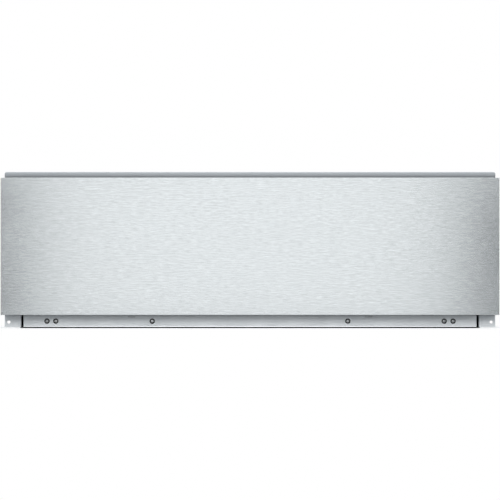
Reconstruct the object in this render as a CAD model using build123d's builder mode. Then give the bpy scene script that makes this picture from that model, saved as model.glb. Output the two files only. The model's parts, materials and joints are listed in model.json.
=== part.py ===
from build123d import *
import os
from math import asin, atan2, cos, degrees, hypot, radians, sin, sqrt

# Built-in storage drawer for a kitchen niche, without a handle: a sheet-steel casing with a mounting
# frame, a drawer on two full-extension ball slides and a magnetic push latch at the back.
# Millimetres. X is the width, -Y is the front and +Z is up. The origin is under the middle of the
# whole object, on the surface that it stands on.

# Front panel
panel_width = 755.65
panel_height = 208.1
panel_base = 19.9
panel_depth = 20.0
panel_sheet = 1.0
panel_bend = 1.2
panel_fit = 0.2
panel_flange = 10.0
stiffener_inset = 83.8
stiffener_web = 34.0
stiffener_foot = 14.0

# Mounting frame
top_reveal = 8.7
side_reveal = 5.925
frame_base = 1.5
frame_sheet = 1.5
frame_bend = 3.0
frame_corner = 3.0
frame_edge = 0.6
top_strip = 16.2
post_width = 25.9
lip_depth = 12.0
push_gap = 4.0
mount_hole_radius = 2.35
mount_hole_inset = 6.4
mount_hole_rise = 7.5
mount_hole_drop = 14.7
bumper_size = 12.0
bumper_corner = 2.0
bumper_height = 1.0
bumper_inset = 13.0
bumper_rise = 44.0
bumper_drop = 30.0

# Casing
overall_depth = 575.0
casing_sheet = 1.0
casing_flange = 11.0
sheet_fold = 0.8
flange_gap = 0.5
fold_gap = 0.6
swage_depth = 2.0
wall_swage_margin = (67.5, 17.0)
roof_swage_width = 90.0
roof_swage_margin = (50.0, 52.5)
roof_swage_count = 5
side_clearance = 4.0

# Skirt below the front panel, with the parts behind it
skirt_sheet = 1.2
skirt_end_gap = 2.65
skirt_top = 25.2
skirt_flare = 0.4
skirt_flare_start = 3.6
skirt_turn = 0.5
skirt_foot = 2.0
skirt_corner = 1.2
skirt_stand_off = 2.3
skirt_screw_height = 10.5
skirt_screw_reach = 148.2
skirt_screw_insets = (48.95, 35.55)
skirt_hole_radius = 4.1
skirt_notch = (12.0, 0.5)
skirt_notch_inset = 71.35
locating_slot = (174.3, 185.2)
locating_tab = (179.6, 184.9)
locating_tab_proud = 0.5
locating_height = 17.3
locating_slot_height = 1.9
cross_rail_end = 1.4
cross_rail_flange = 11.0

# Ball slides
slide_thickness = 12.7
slide_height = 45.7
slide_step = 50.0
slide_rear_room = 20.0
moving_rail_short = 10.0
slide_centre = 92.0
rail_sheet = 1.1
cage_sheet = 0.6
cage_gap = 0.25
ball_radius = 1.75
race_clearance = 0.05
outer_lip_angle = 30.0
inner_lip_angle = 40.0
race_end_angle = 60.0
web_bulge = 0.95
inner_web_bulge = 1.42
outer_corner = 2.0
ball_row_gap = 0.36
cage_length = 200.0
cage_bevel = 0.5
cage_rim = 0.45
pocket_clearance = 0.1
balls_in_row = 4
ball_pitch = 50.0

# Hooks that hang a rail or a drawer wall in a slotted sheet
hook_width = 8.0
hook_neck = 3.0
hook_tongue = 7.0
hook_sheet = 1.0
hook_clearance = 0.1
hook_slot_clearance = 0.2
hook_lift = 7.3
hook_window = 9.0
hook_inset = 90.0
rail_screw_place = 30.0

# Drawer box
drawer_sheet = 1.0
drawer_lift = 4.0
drawer_headroom = 15.0
drawer_back_drop = 8.0
drawer_rear_room = 35.5
hem_width = 8.0
hem_fold = 0.3
drawer_flange = 14.0
mat_thickness = 2.0
mat_margin = 4.0
mat_corner = 6.0

# Push latch on the middle of the casing's back
latch_height = 120.0
latch_pad = (76.0, 62.0)
latch_pad_depth = 3.0
latch_body = (46.0, 34.0)
latch_length = 24.0
latch_wall = 2.0
latch_bore = 11.2
plunger_radius = 4.0
plunger_slide = 0.15
plunger_flange = 3.0
plunger_stop = 0.3
latch_end = 3.0
latch_hook = (5.0, 10.0)
magnet_radius = 3.0
magnet_length = 2.5
magnet_fit = 0.05
spring_wall = 0.9
spring_fit = 0.35
striker_size = (34.0, 30.0)
striker_sheet = 1.2
striker_gap = 0.3

# Fasteners. Small round parts that hardly show are polygons of so many sides.
small_sides = 12
screw_shank = 2.0
screw_fit = 0.1
square_hole = 4.4
hex_head = (7.0, 2.5)
pan_head = (3.2, 2.2)
skirt_screw_length = 7.0
front_screw_length = 9.0
front_screw_rise = 43.8
front_screw_drop = 45.5

# Rubber buffers at the back ends of the outer rails
buffer_gap = 3.5
buffer_half_height = 13.0
buffer_clearance = 0.6
buffer_stub = 3.0

# Planes and edges that the pieces share, worked out from the sizes above
front_y = -overall_depth / 2
rear_y = overall_depth / 2
panel_back = front_y + panel_depth
panel_top = panel_base + panel_height
frame_y = panel_back + push_gap
frame_back = frame_y + frame_sheet
frame_top = panel_top + top_reveal
frame_half = panel_width / 2 - side_reveal
opening_half = frame_half - post_width
opening_top = frame_top - top_strip
wall_inner = opening_half + frame_sheet
wall_outer = wall_inner + casing_sheet
roof_under = opening_top + frame_sheet
roof_top = roof_under + casing_sheet
lip_back = frame_y + lip_depth
pan_start = lip_back + side_clearance
sheet_start = frame_back + frame_bend - frame_sheet + fold_gap

skirt_half = opening_half - skirt_end_gap
skirt_back = frame_y + skirt_sheet
upstand_y = skirt_back + skirt_stand_off
upstand_half = skirt_half - cross_rail_end
upstand_top = skirt_top - skirt_sheet
skirt_screws_x = [
    side * reach
    for side in (-1, 1)
    for reach in [skirt_screw_reach] + [skirt_half - inset for inset in skirt_screw_insets]
]

rail_front = pan_start
slide_length = slide_step * ((rear_y - slide_rear_room - rail_front) // slide_step)
moving_rail_length = slide_length - moving_rail_short
hook_places = [hook_inset, slide_length / 2, slide_length - hook_inset]
drawer_outer = wall_inner - slide_thickness
drawer_inner = drawer_outer - drawer_sheet
drawer_base = skirt_top + drawer_lift
drawer_floor_z = drawer_base + drawer_sheet
drawer_top = opening_top - drawer_headroom
drawer_front_y = panel_back
drawer_back_y = rear_y - drawer_rear_room
striker_y = drawer_back_y + striker_sheet
latch_plate_y = rear_y - latch_pad_depth - casing_sheet
stiffener_offset = drawer_inner - stiffener_inset
front_screw_spots = [
    (x, z)
    for x in (-stiffener_offset, stiffener_offset)
    for z in (drawer_floor_z + drawer_sheet + front_screw_rise, drawer_top - front_screw_drop)
]

race_radius = ball_radius + race_clearance
race_mid = race_radius + rail_sheet / 2
outer_web = rail_sheet / 2
middle_web = rail_sheet + 2 * cage_gap + cage_sheet + rail_sheet / 2
inner_web = slide_thickness - rail_sheet / 2
race_end_cos = cos(radians(race_end_angle))
race_end_sin = sin(radians(race_end_angle))
outer_ball_row = (
    middle_web + web_bulge * (1 + race_end_cos) + race_mid * race_end_cos,
    slide_height / 2 - rail_sheet - race_radius,
)
inner_ball_u = inner_web - inner_web_bulge * (1 + race_end_cos) - race_mid * race_end_cos
ball_rows_apart = 2 * race_mid + ball_row_gap
inner_ball_row = (
    inner_ball_u,
    outer_ball_row[1] - sqrt(ball_rows_apart**2 - (inner_ball_u - outer_ball_row[0]) ** 2),
)
cage_start = rail_front + (slide_length - cage_length) / 2

sides = {"left": -1, "right": 1}

os.makedirs("parts", exist_ok=True)


def write_part(part, name):
    # One finished piece as a file of its own
    part.label = name
    export_step(part, f"parts/{name}.step")


def facing_front(y):
    # Plane across the width at depth y: local x is X, local y is Z and it faces the front
    return Plane.XZ.offset(-y)


def across(x):
    # Plane along the depth at width x: local x is Y, local y is Z and it faces +X
    return Plane.YZ.offset(x)


def level(z):
    return Plane.XY.offset(z)


def beside_rail(side, y):
    # Section plane of a slide: local x runs from the casing wall towards the drawer, local y is up
    # from the slide's centre line. It faces the back on the right side and the front on the left.
    return Plane(origin=(side * wall_inner, y, slide_centre), x_dir=(-side, 0, 0), z_dir=(0, side, 0))


def folded_sheet(points, thickness, inside_fold):
    # Section of a sheet bent along a line of points, which is the middle of its thickness
    with BuildSketch() as section:
        with BuildLine():
            FilletPolyline(*points, radius=inside_fold + thickness / 2)
        trace(line_width=thickness)
    return section.sketch


def creased_sheet(points, thickness):
    # Section of a sheet with sharp right-angled bends, for pieces that are closed in
    with BuildSketch() as section:
        with BuildLine():
            Polyline(*points)
        trace(line_width=thickness)
        with Locations(*points[1:-1]):
            Rectangle(thickness, thickness)
    return section.sketch


def slide_place(side, u, y, v):
    # A point of a slide: u from the casing wall, v above the slide's centre line
    return (side * (wall_inner - u), y, slide_centre + v)


# Mounting frame: one stamped sheet, open at the bottom, with its inner edges folded back as lips
frame_mid = frame_y + frame_sheet / 2
lip_mid = opening_half + frame_sheet / 2
relief = frame_bend + 2 * frame_sheet
lip_root = frame_bend + frame_sheet
with BuildPart() as front_frame:
    with BuildSketch(facing_front(frame_back)):
        with Locations((0, frame_base)):
            Rectangle(2 * frame_half, frame_top - frame_base, align=(Align.CENTER, Align.MIN))
            Rectangle(
                2 * opening_half,
                opening_top - frame_base,
                align=(Align.CENTER, Align.MIN),
                mode=Mode.SUBTRACT,
            )
            Rectangle(
                2 * (opening_half + frame_bend),
                opening_top - relief - frame_base,
                align=(Align.CENTER, Align.MIN),
                mode=Mode.SUBTRACT,
            )
        with Locations((0, opening_top)):
            Rectangle(2 * (opening_half - relief), 2 * frame_bend, mode=Mode.SUBTRACT)
        for side in sides.values():
            for height in (frame_base + mount_hole_rise, frame_top - mount_hole_drop):
                with Locations((side * (frame_half - mount_hole_inset), height)):
                    Circle(mount_hole_radius, mode=Mode.SUBTRACT)
    extrude(amount=frame_sheet)
    fillet(front_frame.edges().filter_by(Axis.Y).group_by(Axis.Z)[-1], radius=frame_corner)
    chamfer(
        front_frame.faces().sort_by(Axis.Y)[0].edges().group_by(Axis.Z)[-1],
        length=frame_edge,
    )
    for side in sides.values():
        lip = folded_sheet(
            [
                (side * (opening_half + lip_root), frame_mid),
                (side * lip_mid, frame_mid),
                (side * lip_mid, lip_back),
            ],
            frame_sheet,
            frame_bend - frame_sheet,
        )
        with BuildSketch(level(frame_base)):
            add(lip)
        extrude(amount=opening_top - relief - frame_base)
    top_lip = folded_sheet(
        [
            (frame_mid, opening_top + lip_root),
            (frame_mid, opening_top + frame_sheet / 2),
            (lip_back, opening_top + frame_sheet / 2),
        ],
        frame_sheet,
        frame_bend - frame_sheet,
    )
    with BuildSketch(across(relief - opening_half)):
        add(top_lip)
    extrude(amount=2 * (opening_half - relief))
write_part(front_frame.part, "front_frame")

# Thin rubber pads on the frame that quiet the front panel when it is pushed
with BuildPart() as frame_bumpers:
    with BuildSketch(facing_front(frame_y)) as bumper_outline:
        for side in sides.values():
            for height in (frame_base + bumper_rise, frame_top - bumper_drop):
                with Locations((side * (frame_half - bumper_inset), height)):
                    Rectangle(bumper_size, bumper_size)
        chamfer(bumper_outline.vertices(), length=bumper_corner)
    extrude(amount=bumper_height)
write_part(frame_bumpers.part, "frame_bumpers")

# Casing floor: a pan whose sides stand up inside the casing walls. Its front edge stands up behind
# the skirt and has two tabs that locate the skirt.
floor_mid = casing_sheet / 2
pan_side = wall_inner - casing_sheet / 2
floor_section = folded_sheet(
    [
        (-pan_side, casing_flange),
        (-pan_side, floor_mid),
        (pan_side, floor_mid),
        (pan_side, casing_flange),
    ],
    casing_sheet,
    sheet_fold,
)
apron_section = folded_sheet(
    [
        (pan_start + casing_sheet, floor_mid),
        (upstand_y + floor_mid, floor_mid),
        (upstand_y + floor_mid, upstand_top),
    ],
    casing_sheet,
    sheet_fold,
)
with BuildPart() as casing_floor:
    with BuildSketch(facing_front(rear_y)):
        add(floor_section)
    extrude(amount=rear_y - pan_start)
    with BuildSketch(across(-upstand_half)):
        add(apron_section)
    extrude(amount=2 * upstand_half)
    with BuildSketch(facing_front(upstand_y)):
        for side in sides.values():
            with Locations((side * sum(locating_tab) / 2, locating_height)):
                Rectangle(locating_tab[1] - locating_tab[0], casing_sheet)
    extrude(amount=skirt_stand_off + skirt_sheet + locating_tab_proud)
    with BuildSketch(facing_front(upstand_y)):
        with Locations(*[(x, skirt_screw_height) for x in skirt_screws_x]):
            RegularPolygon(screw_shank + screw_fit, small_sides)
    extrude(amount=-casing_sheet, mode=Mode.SUBTRACT)
write_part(casing_floor.part, "casing_floor")

# Cross rail: a channel behind the upstand that stiffens the front of the floor
cross_rail_y = upstand_y + casing_sheet
cross_rail_mid = cross_rail_y + skirt_sheet / 2
cross_section = creased_sheet(
    [
        (cross_rail_y + cross_rail_flange, upstand_top - skirt_sheet / 2),
        (cross_rail_mid, upstand_top - skirt_sheet / 2),
        (cross_rail_mid, casing_sheet + sheet_fold + skirt_sheet / 2),
        (cross_rail_y + cross_rail_flange, casing_sheet + sheet_fold + skirt_sheet / 2),
    ],
    skirt_sheet,
)
with BuildPart() as cross_rail:
    with BuildSketch(across(-upstand_half)):
        add(cross_section)
    extrude(amount=2 * upstand_half)
    with BuildSketch(facing_front(cross_rail_y)):
        with Locations(*[(x, skirt_screw_height) for x in skirt_screws_x]):
            Rectangle(square_hole, square_hole)
    extrude(amount=-skirt_sheet, mode=Mode.SUBTRACT)
write_part(cross_rail.part, "cross_rail")

# Skirt: the bar under the front panel. Its lower edge flares forward a little and turns under.
skirt_mid = frame_y + skirt_sheet / 2
skirt_notch_x = skirt_half - skirt_notch_inset
skirt_section = folded_sheet(
    [
        (upstand_y - screw_fit, skirt_top - skirt_sheet / 2),
        (skirt_mid, skirt_top - skirt_sheet / 2),
        (skirt_mid, skirt_flare_start),
        (skirt_mid - skirt_flare, skirt_sheet / 2),
        (skirt_mid + skirt_foot, skirt_sheet / 2),
    ],
    skirt_sheet,
    skirt_turn,
)
with BuildPart() as base_skirt:
    with BuildSketch(across(-skirt_half)):
        add(skirt_section)
    extrude(amount=2 * skirt_half)
    with BuildSketch(facing_front(upstand_y)) as skirt_outline:
        with Locations((0, skirt_top / 2)):
            Rectangle(2 * skirt_half, skirt_top)
        fillet(skirt_outline.vertices().group_by(Axis.Y)[0], radius=skirt_corner)
    extrude(amount=upstand_y - panel_back, mode=Mode.INTERSECT)
    with BuildSketch(facing_front(upstand_y)):
        with Locations(*[(x, skirt_screw_height) for x in skirt_screws_x]):
            Circle(skirt_hole_radius)
        for side in sides.values():
            with Locations((side * sum(locating_slot) / 2, locating_height)):
                Rectangle(locating_slot[1] - locating_slot[0], locating_slot_height)
        with Locations(*[(x, 0) for x in (-skirt_notch_x, 0, skirt_notch_x)]):
            Rectangle(skirt_notch[0], 2 * skirt_notch[1])
    extrude(amount=upstand_y - panel_back, mode=Mode.SUBTRACT)
write_part(base_skirt.part, "base_skirt")

# Pan-head screws that show in the skirt's openings and hold the upstand to the cross rail
with BuildPart() as skirt_screws:
    with BuildSketch(facing_front(upstand_y)):
        with Locations(*[(x, skirt_screw_height) for x in skirt_screws_x]):
            RegularPolygon(pan_head[0], small_sides)
    extrude(amount=pan_head[1])
    with BuildSketch(facing_front(upstand_y)):
        with Locations(*[(x, skirt_screw_height) for x in skirt_screws_x]):
            RegularPolygon(screw_shank, small_sides)
    extrude(amount=-skirt_screw_length)
write_part(skirt_screws.part, "skirt_screws")

# Casing walls: flat sheets with an outward swage, and slots for the rails' hooks
hook_slot_top = hook_lift
hook_slot_bottom = -hook_neck - hook_slot_clearance
hook_slot_size = (hook_width + 2 * hook_slot_clearance, hook_slot_top - hook_slot_bottom)
hook_slot_middle = (hook_slot_top + hook_slot_bottom) / 2
swage_low = slide_centre + slide_height / 2 + wall_swage_margin[1]
swage_high = roof_under - casing_flange - wall_swage_margin[1]
wall_swage = (rear_y - rail_front - 2 * wall_swage_margin[0], swage_high - swage_low)
for name, side in sides.items():
    with BuildPart() as casing_wall:
        with BuildSketch(across(side * wall_inner)) as wall_outline:
            with Locations(((sheet_start + rear_y) / 2, roof_top / 2)):
                Rectangle(rear_y - sheet_start, roof_top)
            for place in hook_places:
                with Locations((rail_front + place, slide_centre + hook_slot_middle)):
                    Rectangle(*hook_slot_size, mode=Mode.SUBTRACT)
            with Locations((rail_front + rail_screw_place, slide_centre)):
                SlotOverall(3 * screw_shank, 2 * (screw_shank + screw_fit), mode=Mode.SUBTRACT)
        extrude(amount=side * casing_sheet)
        with BuildSketch(across(side * wall_outer)):
            with Locations(((rail_front + rear_y) / 2, (swage_low + swage_high) / 2)):
                Rectangle(*wall_swage)
        extrude(amount=side * swage_depth, taper=45)
        with BuildSketch(across(side * wall_inner)):
            with Locations(((rail_front + rear_y) / 2, (swage_low + swage_high) / 2)):
                Rectangle(wall_swage[0] - casing_sheet, wall_swage[1] - casing_sheet)
        extrude(amount=side * swage_depth, taper=45, mode=Mode.SUBTRACT)
    write_part(casing_wall.part, f"casing_{name}_wall")

# Casing roof: a flat sheet with turned-down sides and shallow swages across its width
roof_mid = roof_under + casing_sheet / 2
roof_section = folded_sheet(
    [
        (-pan_side, roof_under - casing_flange),
        (-pan_side, roof_mid),
        (pan_side, roof_mid),
        (pan_side, roof_under - casing_flange),
    ],
    casing_sheet,
    sheet_fold,
)
roof_pitch = (2 * (wall_inner - roof_swage_margin[0]) - roof_swage_width) / (roof_swage_count - 1)
roof_swage = (roof_swage_width, rear_y - pan_start - 2 * roof_swage_margin[1])
with BuildPart() as casing_roof:
    with BuildSketch(facing_front(rear_y)):
        add(roof_section)
    extrude(amount=rear_y - pan_start)
    with BuildSketch(level(roof_under)):
        with Locations((0, sheet_start)):
            Rectangle(
                2 * (wall_inner - sheet_fold),
                pan_start - sheet_start + 2 * casing_sheet,
                align=(Align.CENTER, Align.MIN),
            )
    extrude(amount=casing_sheet)
    with BuildSketch(level(roof_under)):
        with Locations((0, (pan_start + rear_y) / 2)):
            with GridLocations(roof_pitch, 1, roof_swage_count, 1):
                Rectangle(*roof_swage)
    extrude(amount=-swage_depth, taper=45)
    with BuildSketch(level(roof_top)):
        with Locations((0, (pan_start + rear_y) / 2)):
            with GridLocations(roof_pitch, 1, roof_swage_count, 1):
                Rectangle(roof_swage[0] - casing_sheet, roof_swage[1] - casing_sheet)
    extrude(amount=-swage_depth, taper=45, mode=Mode.SUBTRACT)
write_part(casing_roof.part, "casing_roof")

# Casing back: a pan whose edges are folded forward, with a pressed-in pad that carries the latch
back_mid = rear_y - casing_sheet / 2
back_flange_y = rear_y - casing_flange
back_side_section = folded_sheet(
    [
        (-pan_side, back_flange_y),
        (-pan_side, back_mid),
        (pan_side, back_mid),
        (pan_side, back_flange_y),
    ],
    casing_sheet,
    sheet_fold,
)
back_height_section = folded_sheet(
    [
        (back_flange_y, casing_sheet + floor_mid),
        (back_mid, casing_sheet + floor_mid),
        (back_mid, roof_under - casing_sheet / 2),
        (back_flange_y, roof_under - casing_sheet / 2),
    ],
    casing_sheet,
    sheet_fold,
)
back_notch = casing_flange + side_clearance
back_flat_low = 2 * casing_sheet + sheet_fold
back_flat_high = roof_under - casing_sheet - sheet_fold
latch_hook_x = latch_body[0] / 2 - latch_hook[0]
with BuildPart() as casing_back:
    with BuildSketch(facing_front(rear_y)):
        with Locations((0, (back_flat_low + back_flat_high) / 2)):
            Rectangle(2 * (wall_inner - casing_sheet - sheet_fold), back_flat_high - back_flat_low)
    extrude(amount=casing_sheet)
    with BuildSketch(level(casing_flange + flange_gap)):
        add(back_side_section)
    extrude(amount=roof_under - 2 * (casing_flange + flange_gap))
    with BuildSketch(across(back_notch - wall_inner)):
        add(back_height_section)
    extrude(amount=2 * (wall_inner - back_notch))
    with BuildSketch(facing_front(rear_y - casing_sheet)):
        with Locations((0, latch_height)):
            Rectangle(*latch_pad)
    extrude(amount=latch_pad_depth, taper=45)
    with BuildSketch(facing_front(rear_y)):
        with Locations((0, latch_height)):
            Rectangle(latch_pad[0] - casing_sheet, latch_pad[1] - casing_sheet)
    extrude(amount=latch_pad_depth, taper=45, mode=Mode.SUBTRACT)
    with BuildSketch(facing_front(rear_y)):
        with Locations(*[(side * latch_hook_x, latch_height) for side in sides.values()]):
            Rectangle(latch_hook[0] + 2 * hook_slot_clearance, latch_hook[1] + 2 * hook_slot_clearance)
    extrude(amount=latch_pad_depth + casing_sheet, mode=Mode.SUBTRACT)
write_part(casing_back.part, "casing_back")


# Sections of the three rails of a ball slide, each a folded sheet whose edges curl around the balls
def outer_rail_section():
    u, v = outer_ball_row
    top = slide_height / 2 - rail_sheet / 2
    with BuildSketch() as section:
        with BuildLine():
            Line((outer_web, 0), (outer_web, top - outer_corner))
            CenterArc((outer_web + outer_corner, top - outer_corner), outer_corner, 180, -90)
            Line((outer_web + outer_corner, top), (u, top))
            CenterArc((u, v), race_mid, 90, outer_lip_angle - 90)
            mirror(about=Plane.XZ)
        trace(line_width=rail_sheet)
    return section.sketch


def middle_rail_section():
    u1, v1 = outer_ball_row
    u2, v2 = inner_ball_row
    # The slope of the straight that touches the race under one ball and the race over the other
    apart = hypot(u2 - u1, v2 - v1)
    slope = degrees(asin(2 * race_mid / apart) + atan2(v2 - v1, u2 - u1))
    bulge_height = v1 - (race_mid + web_bulge) * race_end_sin
    with BuildSketch() as section:
        with BuildLine():
            Line((middle_web, 0), (middle_web, bulge_height))
            CenterArc((middle_web + web_bulge, bulge_height), web_bulge, 180, race_end_angle - 180)
            trough = CenterArc((u1, v1), race_mid, race_end_angle - 180, 90 - race_end_angle + slope)
            crest = CenterArc((u2, v2), race_mid, 90 + slope, inner_lip_angle - 90 - slope)
            Line(trough @ 1, crest @ 0)
            mirror(about=Plane.XZ)
        trace(line_width=rail_sheet)
    return section.sketch


def inner_rail_section():
    u, v = inner_ball_row
    bulge_height = v - (race_mid + inner_web_bulge) * race_end_sin
    with BuildSketch() as section:
        with BuildLine():
            Line((inner_web, 0), (inner_web, bulge_height))
            CenterArc(
                (inner_web - inner_web_bulge, bulge_height), inner_web_bulge, 0, 180 - race_end_angle
            )
            CenterArc((u, v), race_mid, -race_end_angle, -90)
            mirror(about=Plane.XZ)
        trace(line_width=rail_sheet)
    return section.sketch


def hook_profile(outwards, sheet_face, sheet):
    # Section of a hook: a neck through a slotted sheet, and a tongue that hangs down behind it
    reach = sheet + hook_clearance
    with BuildSketch() as section:
        with Locations((sheet_face + outwards * reach / 2, 0)):
            Rectangle(reach, 2 * hook_neck)
        with Locations((sheet_face + outwards * (reach + hook_sheet / 2), hook_neck)):
            Rectangle(hook_sheet, hook_neck + hook_tongue, align=(Align.CENTER, Align.MAX))
    return section.sketch


outer_section = outer_rail_section()
middle_section = middle_rail_section()
inner_section = inner_rail_section()
wall_hook = hook_profile(-1, 0, casing_sheet)
drawer_hook = hook_profile(-1, slide_thickness, rail_sheet)

# Outer rails: fixed to the casing walls by hooks and one screw each
for name, side in sides.items():
    with BuildPart() as outer_rail:
        with BuildSketch(beside_rail(side, rail_front)):
            add(outer_section)
        extrude(amount=side * slide_length)
        for place in hook_places:
            with BuildSketch(beside_rail(side, rail_front + place - hook_width / 2)):
                with Locations((0, hook_neck)):
                    Rectangle(2 * rail_sheet, hook_window, align=(Align.CENTER, Align.MIN))
            extrude(amount=side * hook_width, mode=Mode.SUBTRACT)
            with BuildSketch(beside_rail(side, rail_front + place - hook_width / 2)):
                add(wall_hook)
            extrude(amount=side * hook_width)
        with BuildSketch(across(side * wall_inner)):
            with Locations((rail_front + rail_screw_place, slide_centre)):
                RegularPolygon(screw_shank + screw_fit, small_sides)
            with Locations((rail_front + slide_length - buffer_stub, slide_centre)):
                Rectangle(buffer_stub, buffer_stub)
        extrude(amount=-side * rail_sheet, mode=Mode.SUBTRACT)
    write_part(outer_rail.part, f"{name}_outer_rail")

# Middle rails: carried by the outer ball rows, and carrying the inner ones
for name, side in sides.items():
    with BuildPart() as middle_rail:
        with BuildSketch(beside_rail(side, rail_front)):
            add(middle_section)
        extrude(amount=side * moving_rail_length)
    write_part(middle_rail.part, f"{name}_middle_rail")

# Inner rails: hung on the hooks of the drawer walls, and held by one screw each
for name, side in sides.items():
    with BuildPart() as inner_rail:
        with BuildSketch(beside_rail(side, rail_front)):
            add(inner_section)
        extrude(amount=side * moving_rail_length)
        with BuildSketch(across(side * drawer_outer)):
            for place in hook_places:
                with Locations((rail_front + place, slide_centre + hook_slot_middle)):
                    Rectangle(*hook_slot_size)
            with Locations((rail_front + rail_screw_place, slide_centre)):
                RegularPolygon(screw_shank + screw_fit, small_sides)
        extrude(amount=side * rail_sheet, mode=Mode.SUBTRACT)
    write_part(inner_rail.part, f"{name}_inner_rail")


# Ball cages: thin channels between the rails, with a square pocket for each ball
def cage_section(web, row):
    end = row[0] + ball_radius + pocket_clearance + cage_rim
    with BuildSketch() as section:
        add(creased_sheet([(end, row[1]), (web, row[1]), (web, -row[1]), (end, -row[1])], cage_sheet))
        chamfer(section.vertices().group_by(Axis.X)[0], length=cage_bevel)
    return section.sketch


def ball_depths():
    first = cage_start + cage_length / 2 - ball_pitch * (balls_in_row - 1) / 2
    return [first + ball_pitch * step for step in range(balls_in_row)]


cages = {
    "outer": (rail_sheet + cage_gap + cage_sheet / 2, outer_ball_row),
    "inner": (middle_web + rail_sheet / 2 + cage_gap + cage_sheet / 2, inner_ball_row),
}
# A ball of 26 flat faces whose corners lie on the true ball
ball_half = ball_radius / sqrt(1 + 2 * (sqrt(2) - 1) ** 2)
with BuildPart() as ball:
    Box(2 * ball_half, 2 * ball_half, 2 * ball_half)
    chamfer(ball.edges(), length=(2 - sqrt(2)) * ball_half)
for name, side in sides.items():
    for level_name, (web, row) in cages.items():
        section = cage_section(web, row)
        places = [
            slide_place(side, row[0], depth, up * row[1]) for depth in ball_depths() for up in (-1, 1)
        ]
        pocket = 2 * (ball_radius + pocket_clearance)
        with BuildPart() as cage:
            with BuildSketch(beside_rail(side, cage_start)):
                add(section)
            extrude(amount=side * cage_length)
            with Locations(*places):
                Box(pocket, pocket, pocket, mode=Mode.SUBTRACT)
        write_part(cage.part, f"{name}_{level_name}_cage")
        with BuildPart() as balls:
            with Locations(*places):
                add(ball.part)
        write_part(balls.part, f"{name}_{level_name}_balls")

# Rubber buffers: moulded blocks pressed into the back end of the outer rails
for name, side in sides.items():
    with BuildPart() as rail_buffer:
        with BuildSketch(beside_rail(side, rail_front + moving_rail_length + buffer_gap)) as block:
            with Locations((rail_sheet, 0)):
                Rectangle(
                    slide_thickness - rail_sheet - buffer_clearance,
                    2 * buffer_half_height,
                    align=(Align.MIN, Align.CENTER),
                )
            chamfer(block.vertices().group_by(Axis.X)[-1], length=rail_sheet)
        extrude(amount=side * (slide_length - moving_rail_length - buffer_gap))
        with BuildSketch(across(side * (wall_inner - rail_sheet))):
            with Locations((rail_front + slide_length - buffer_stub, slide_centre)):
                Rectangle(buffer_stub - 2 * screw_fit, buffer_stub - 2 * screw_fit)
        extrude(amount=side * rail_sheet)
    write_part(rail_buffer.part, f"{name}_rail_buffer")


def hex_screw(plane, places, length):
    # Screws with a flat hexagonal head: the head stands on the plane and the shank goes behind it
    with BuildPart() as screws:
        for place in places:
            with BuildSketch(plane):
                with Locations(place):
                    RegularPolygon(hex_head[0] / 2, 6, major_radius=False)
            extrude(amount=hex_head[1])
            with BuildSketch(plane):
                with Locations(place):
                    RegularPolygon(screw_shank, small_sides)
            extrude(amount=-length)
    return screws.part


# One screw on each side through the casing wall into the outer rail, driven from outside
rail_screw_y = rail_front + rail_screw_place
with BuildPart() as casing_rail_screws:
    for side in sides.values():
        outside = Plane(origin=(side * wall_outer, rail_screw_y, slide_centre), z_dir=(side, 0, 0))
        add(hex_screw(outside, [(0, 0)], casing_sheet + rail_sheet))
write_part(casing_rail_screws.part, "casing_rail_screws")

# One screw on each side through the inner rail into the drawer wall
with BuildPart() as drawer_rail_screws:
    for side in sides.values():
        rail_face = Plane(
            origin=(side * (drawer_outer + rail_sheet), rail_screw_y, slide_centre),
            z_dir=(side, 0, 0),
        )
        add(hex_screw(rail_face, [(0, 0)], rail_sheet + drawer_sheet))
write_part(drawer_rail_screws.part, "drawer_rail_screws")

# Drawer walls: each has an open hem along its top, a foot that carries the floor and hooks for its rail
drawer_wall_mid = drawer_outer - drawer_sheet / 2
hem_turn = drawer_sheet + 2 * hem_fold
for name, side in sides.items():
    wall_section = folded_sheet(
        [
            (side * (drawer_outer - drawer_flange), drawer_base + drawer_sheet / 2),
            (side * drawer_wall_mid, drawer_base + drawer_sheet / 2),
            (side * drawer_wall_mid, drawer_top - drawer_sheet / 2),
            (side * (drawer_wall_mid - hem_turn), drawer_top - drawer_sheet / 2),
            (side * (drawer_wall_mid - hem_turn), drawer_top - hem_width),
        ],
        drawer_sheet,
        hem_fold,
    )
    with BuildPart() as drawer_wall:
        with BuildSketch(facing_front(drawer_back_y)):
            add(wall_section)
        extrude(amount=drawer_back_y - drawer_front_y - drawer_sheet)
        with BuildSketch(across(side * drawer_inner)):
            for place in hook_places:
                with Locations((rail_front + place, slide_centre + hook_neck)):
                    Rectangle(hook_width, hook_window, align=(Align.CENTER, Align.MIN))
            with Locations((rail_screw_y, slide_centre)):
                RegularPolygon(screw_shank + screw_fit, small_sides)
        extrude(amount=side * drawer_sheet, mode=Mode.SUBTRACT)
        for place in hook_places:
            with BuildSketch(beside_rail(side, rail_front + place - hook_width / 2)):
                add(drawer_hook)
            extrude(amount=side * hook_width)
    write_part(drawer_wall.part, f"drawer_{name}_wall")

# Drawer floor: a flat sheet on the feet of the side walls
with BuildPart() as drawer_floor:
    with BuildSketch(level(drawer_floor_z)):
        with Locations((0, (drawer_front_y + drawer_back_y) / 2)):
            Rectangle(
                2 * (drawer_inner - flange_gap),
                drawer_back_y - drawer_front_y - 2 * (drawer_sheet + flange_gap),
            )
    extrude(amount=drawer_sheet)
write_part(drawer_floor.part, "drawer_floor")


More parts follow.
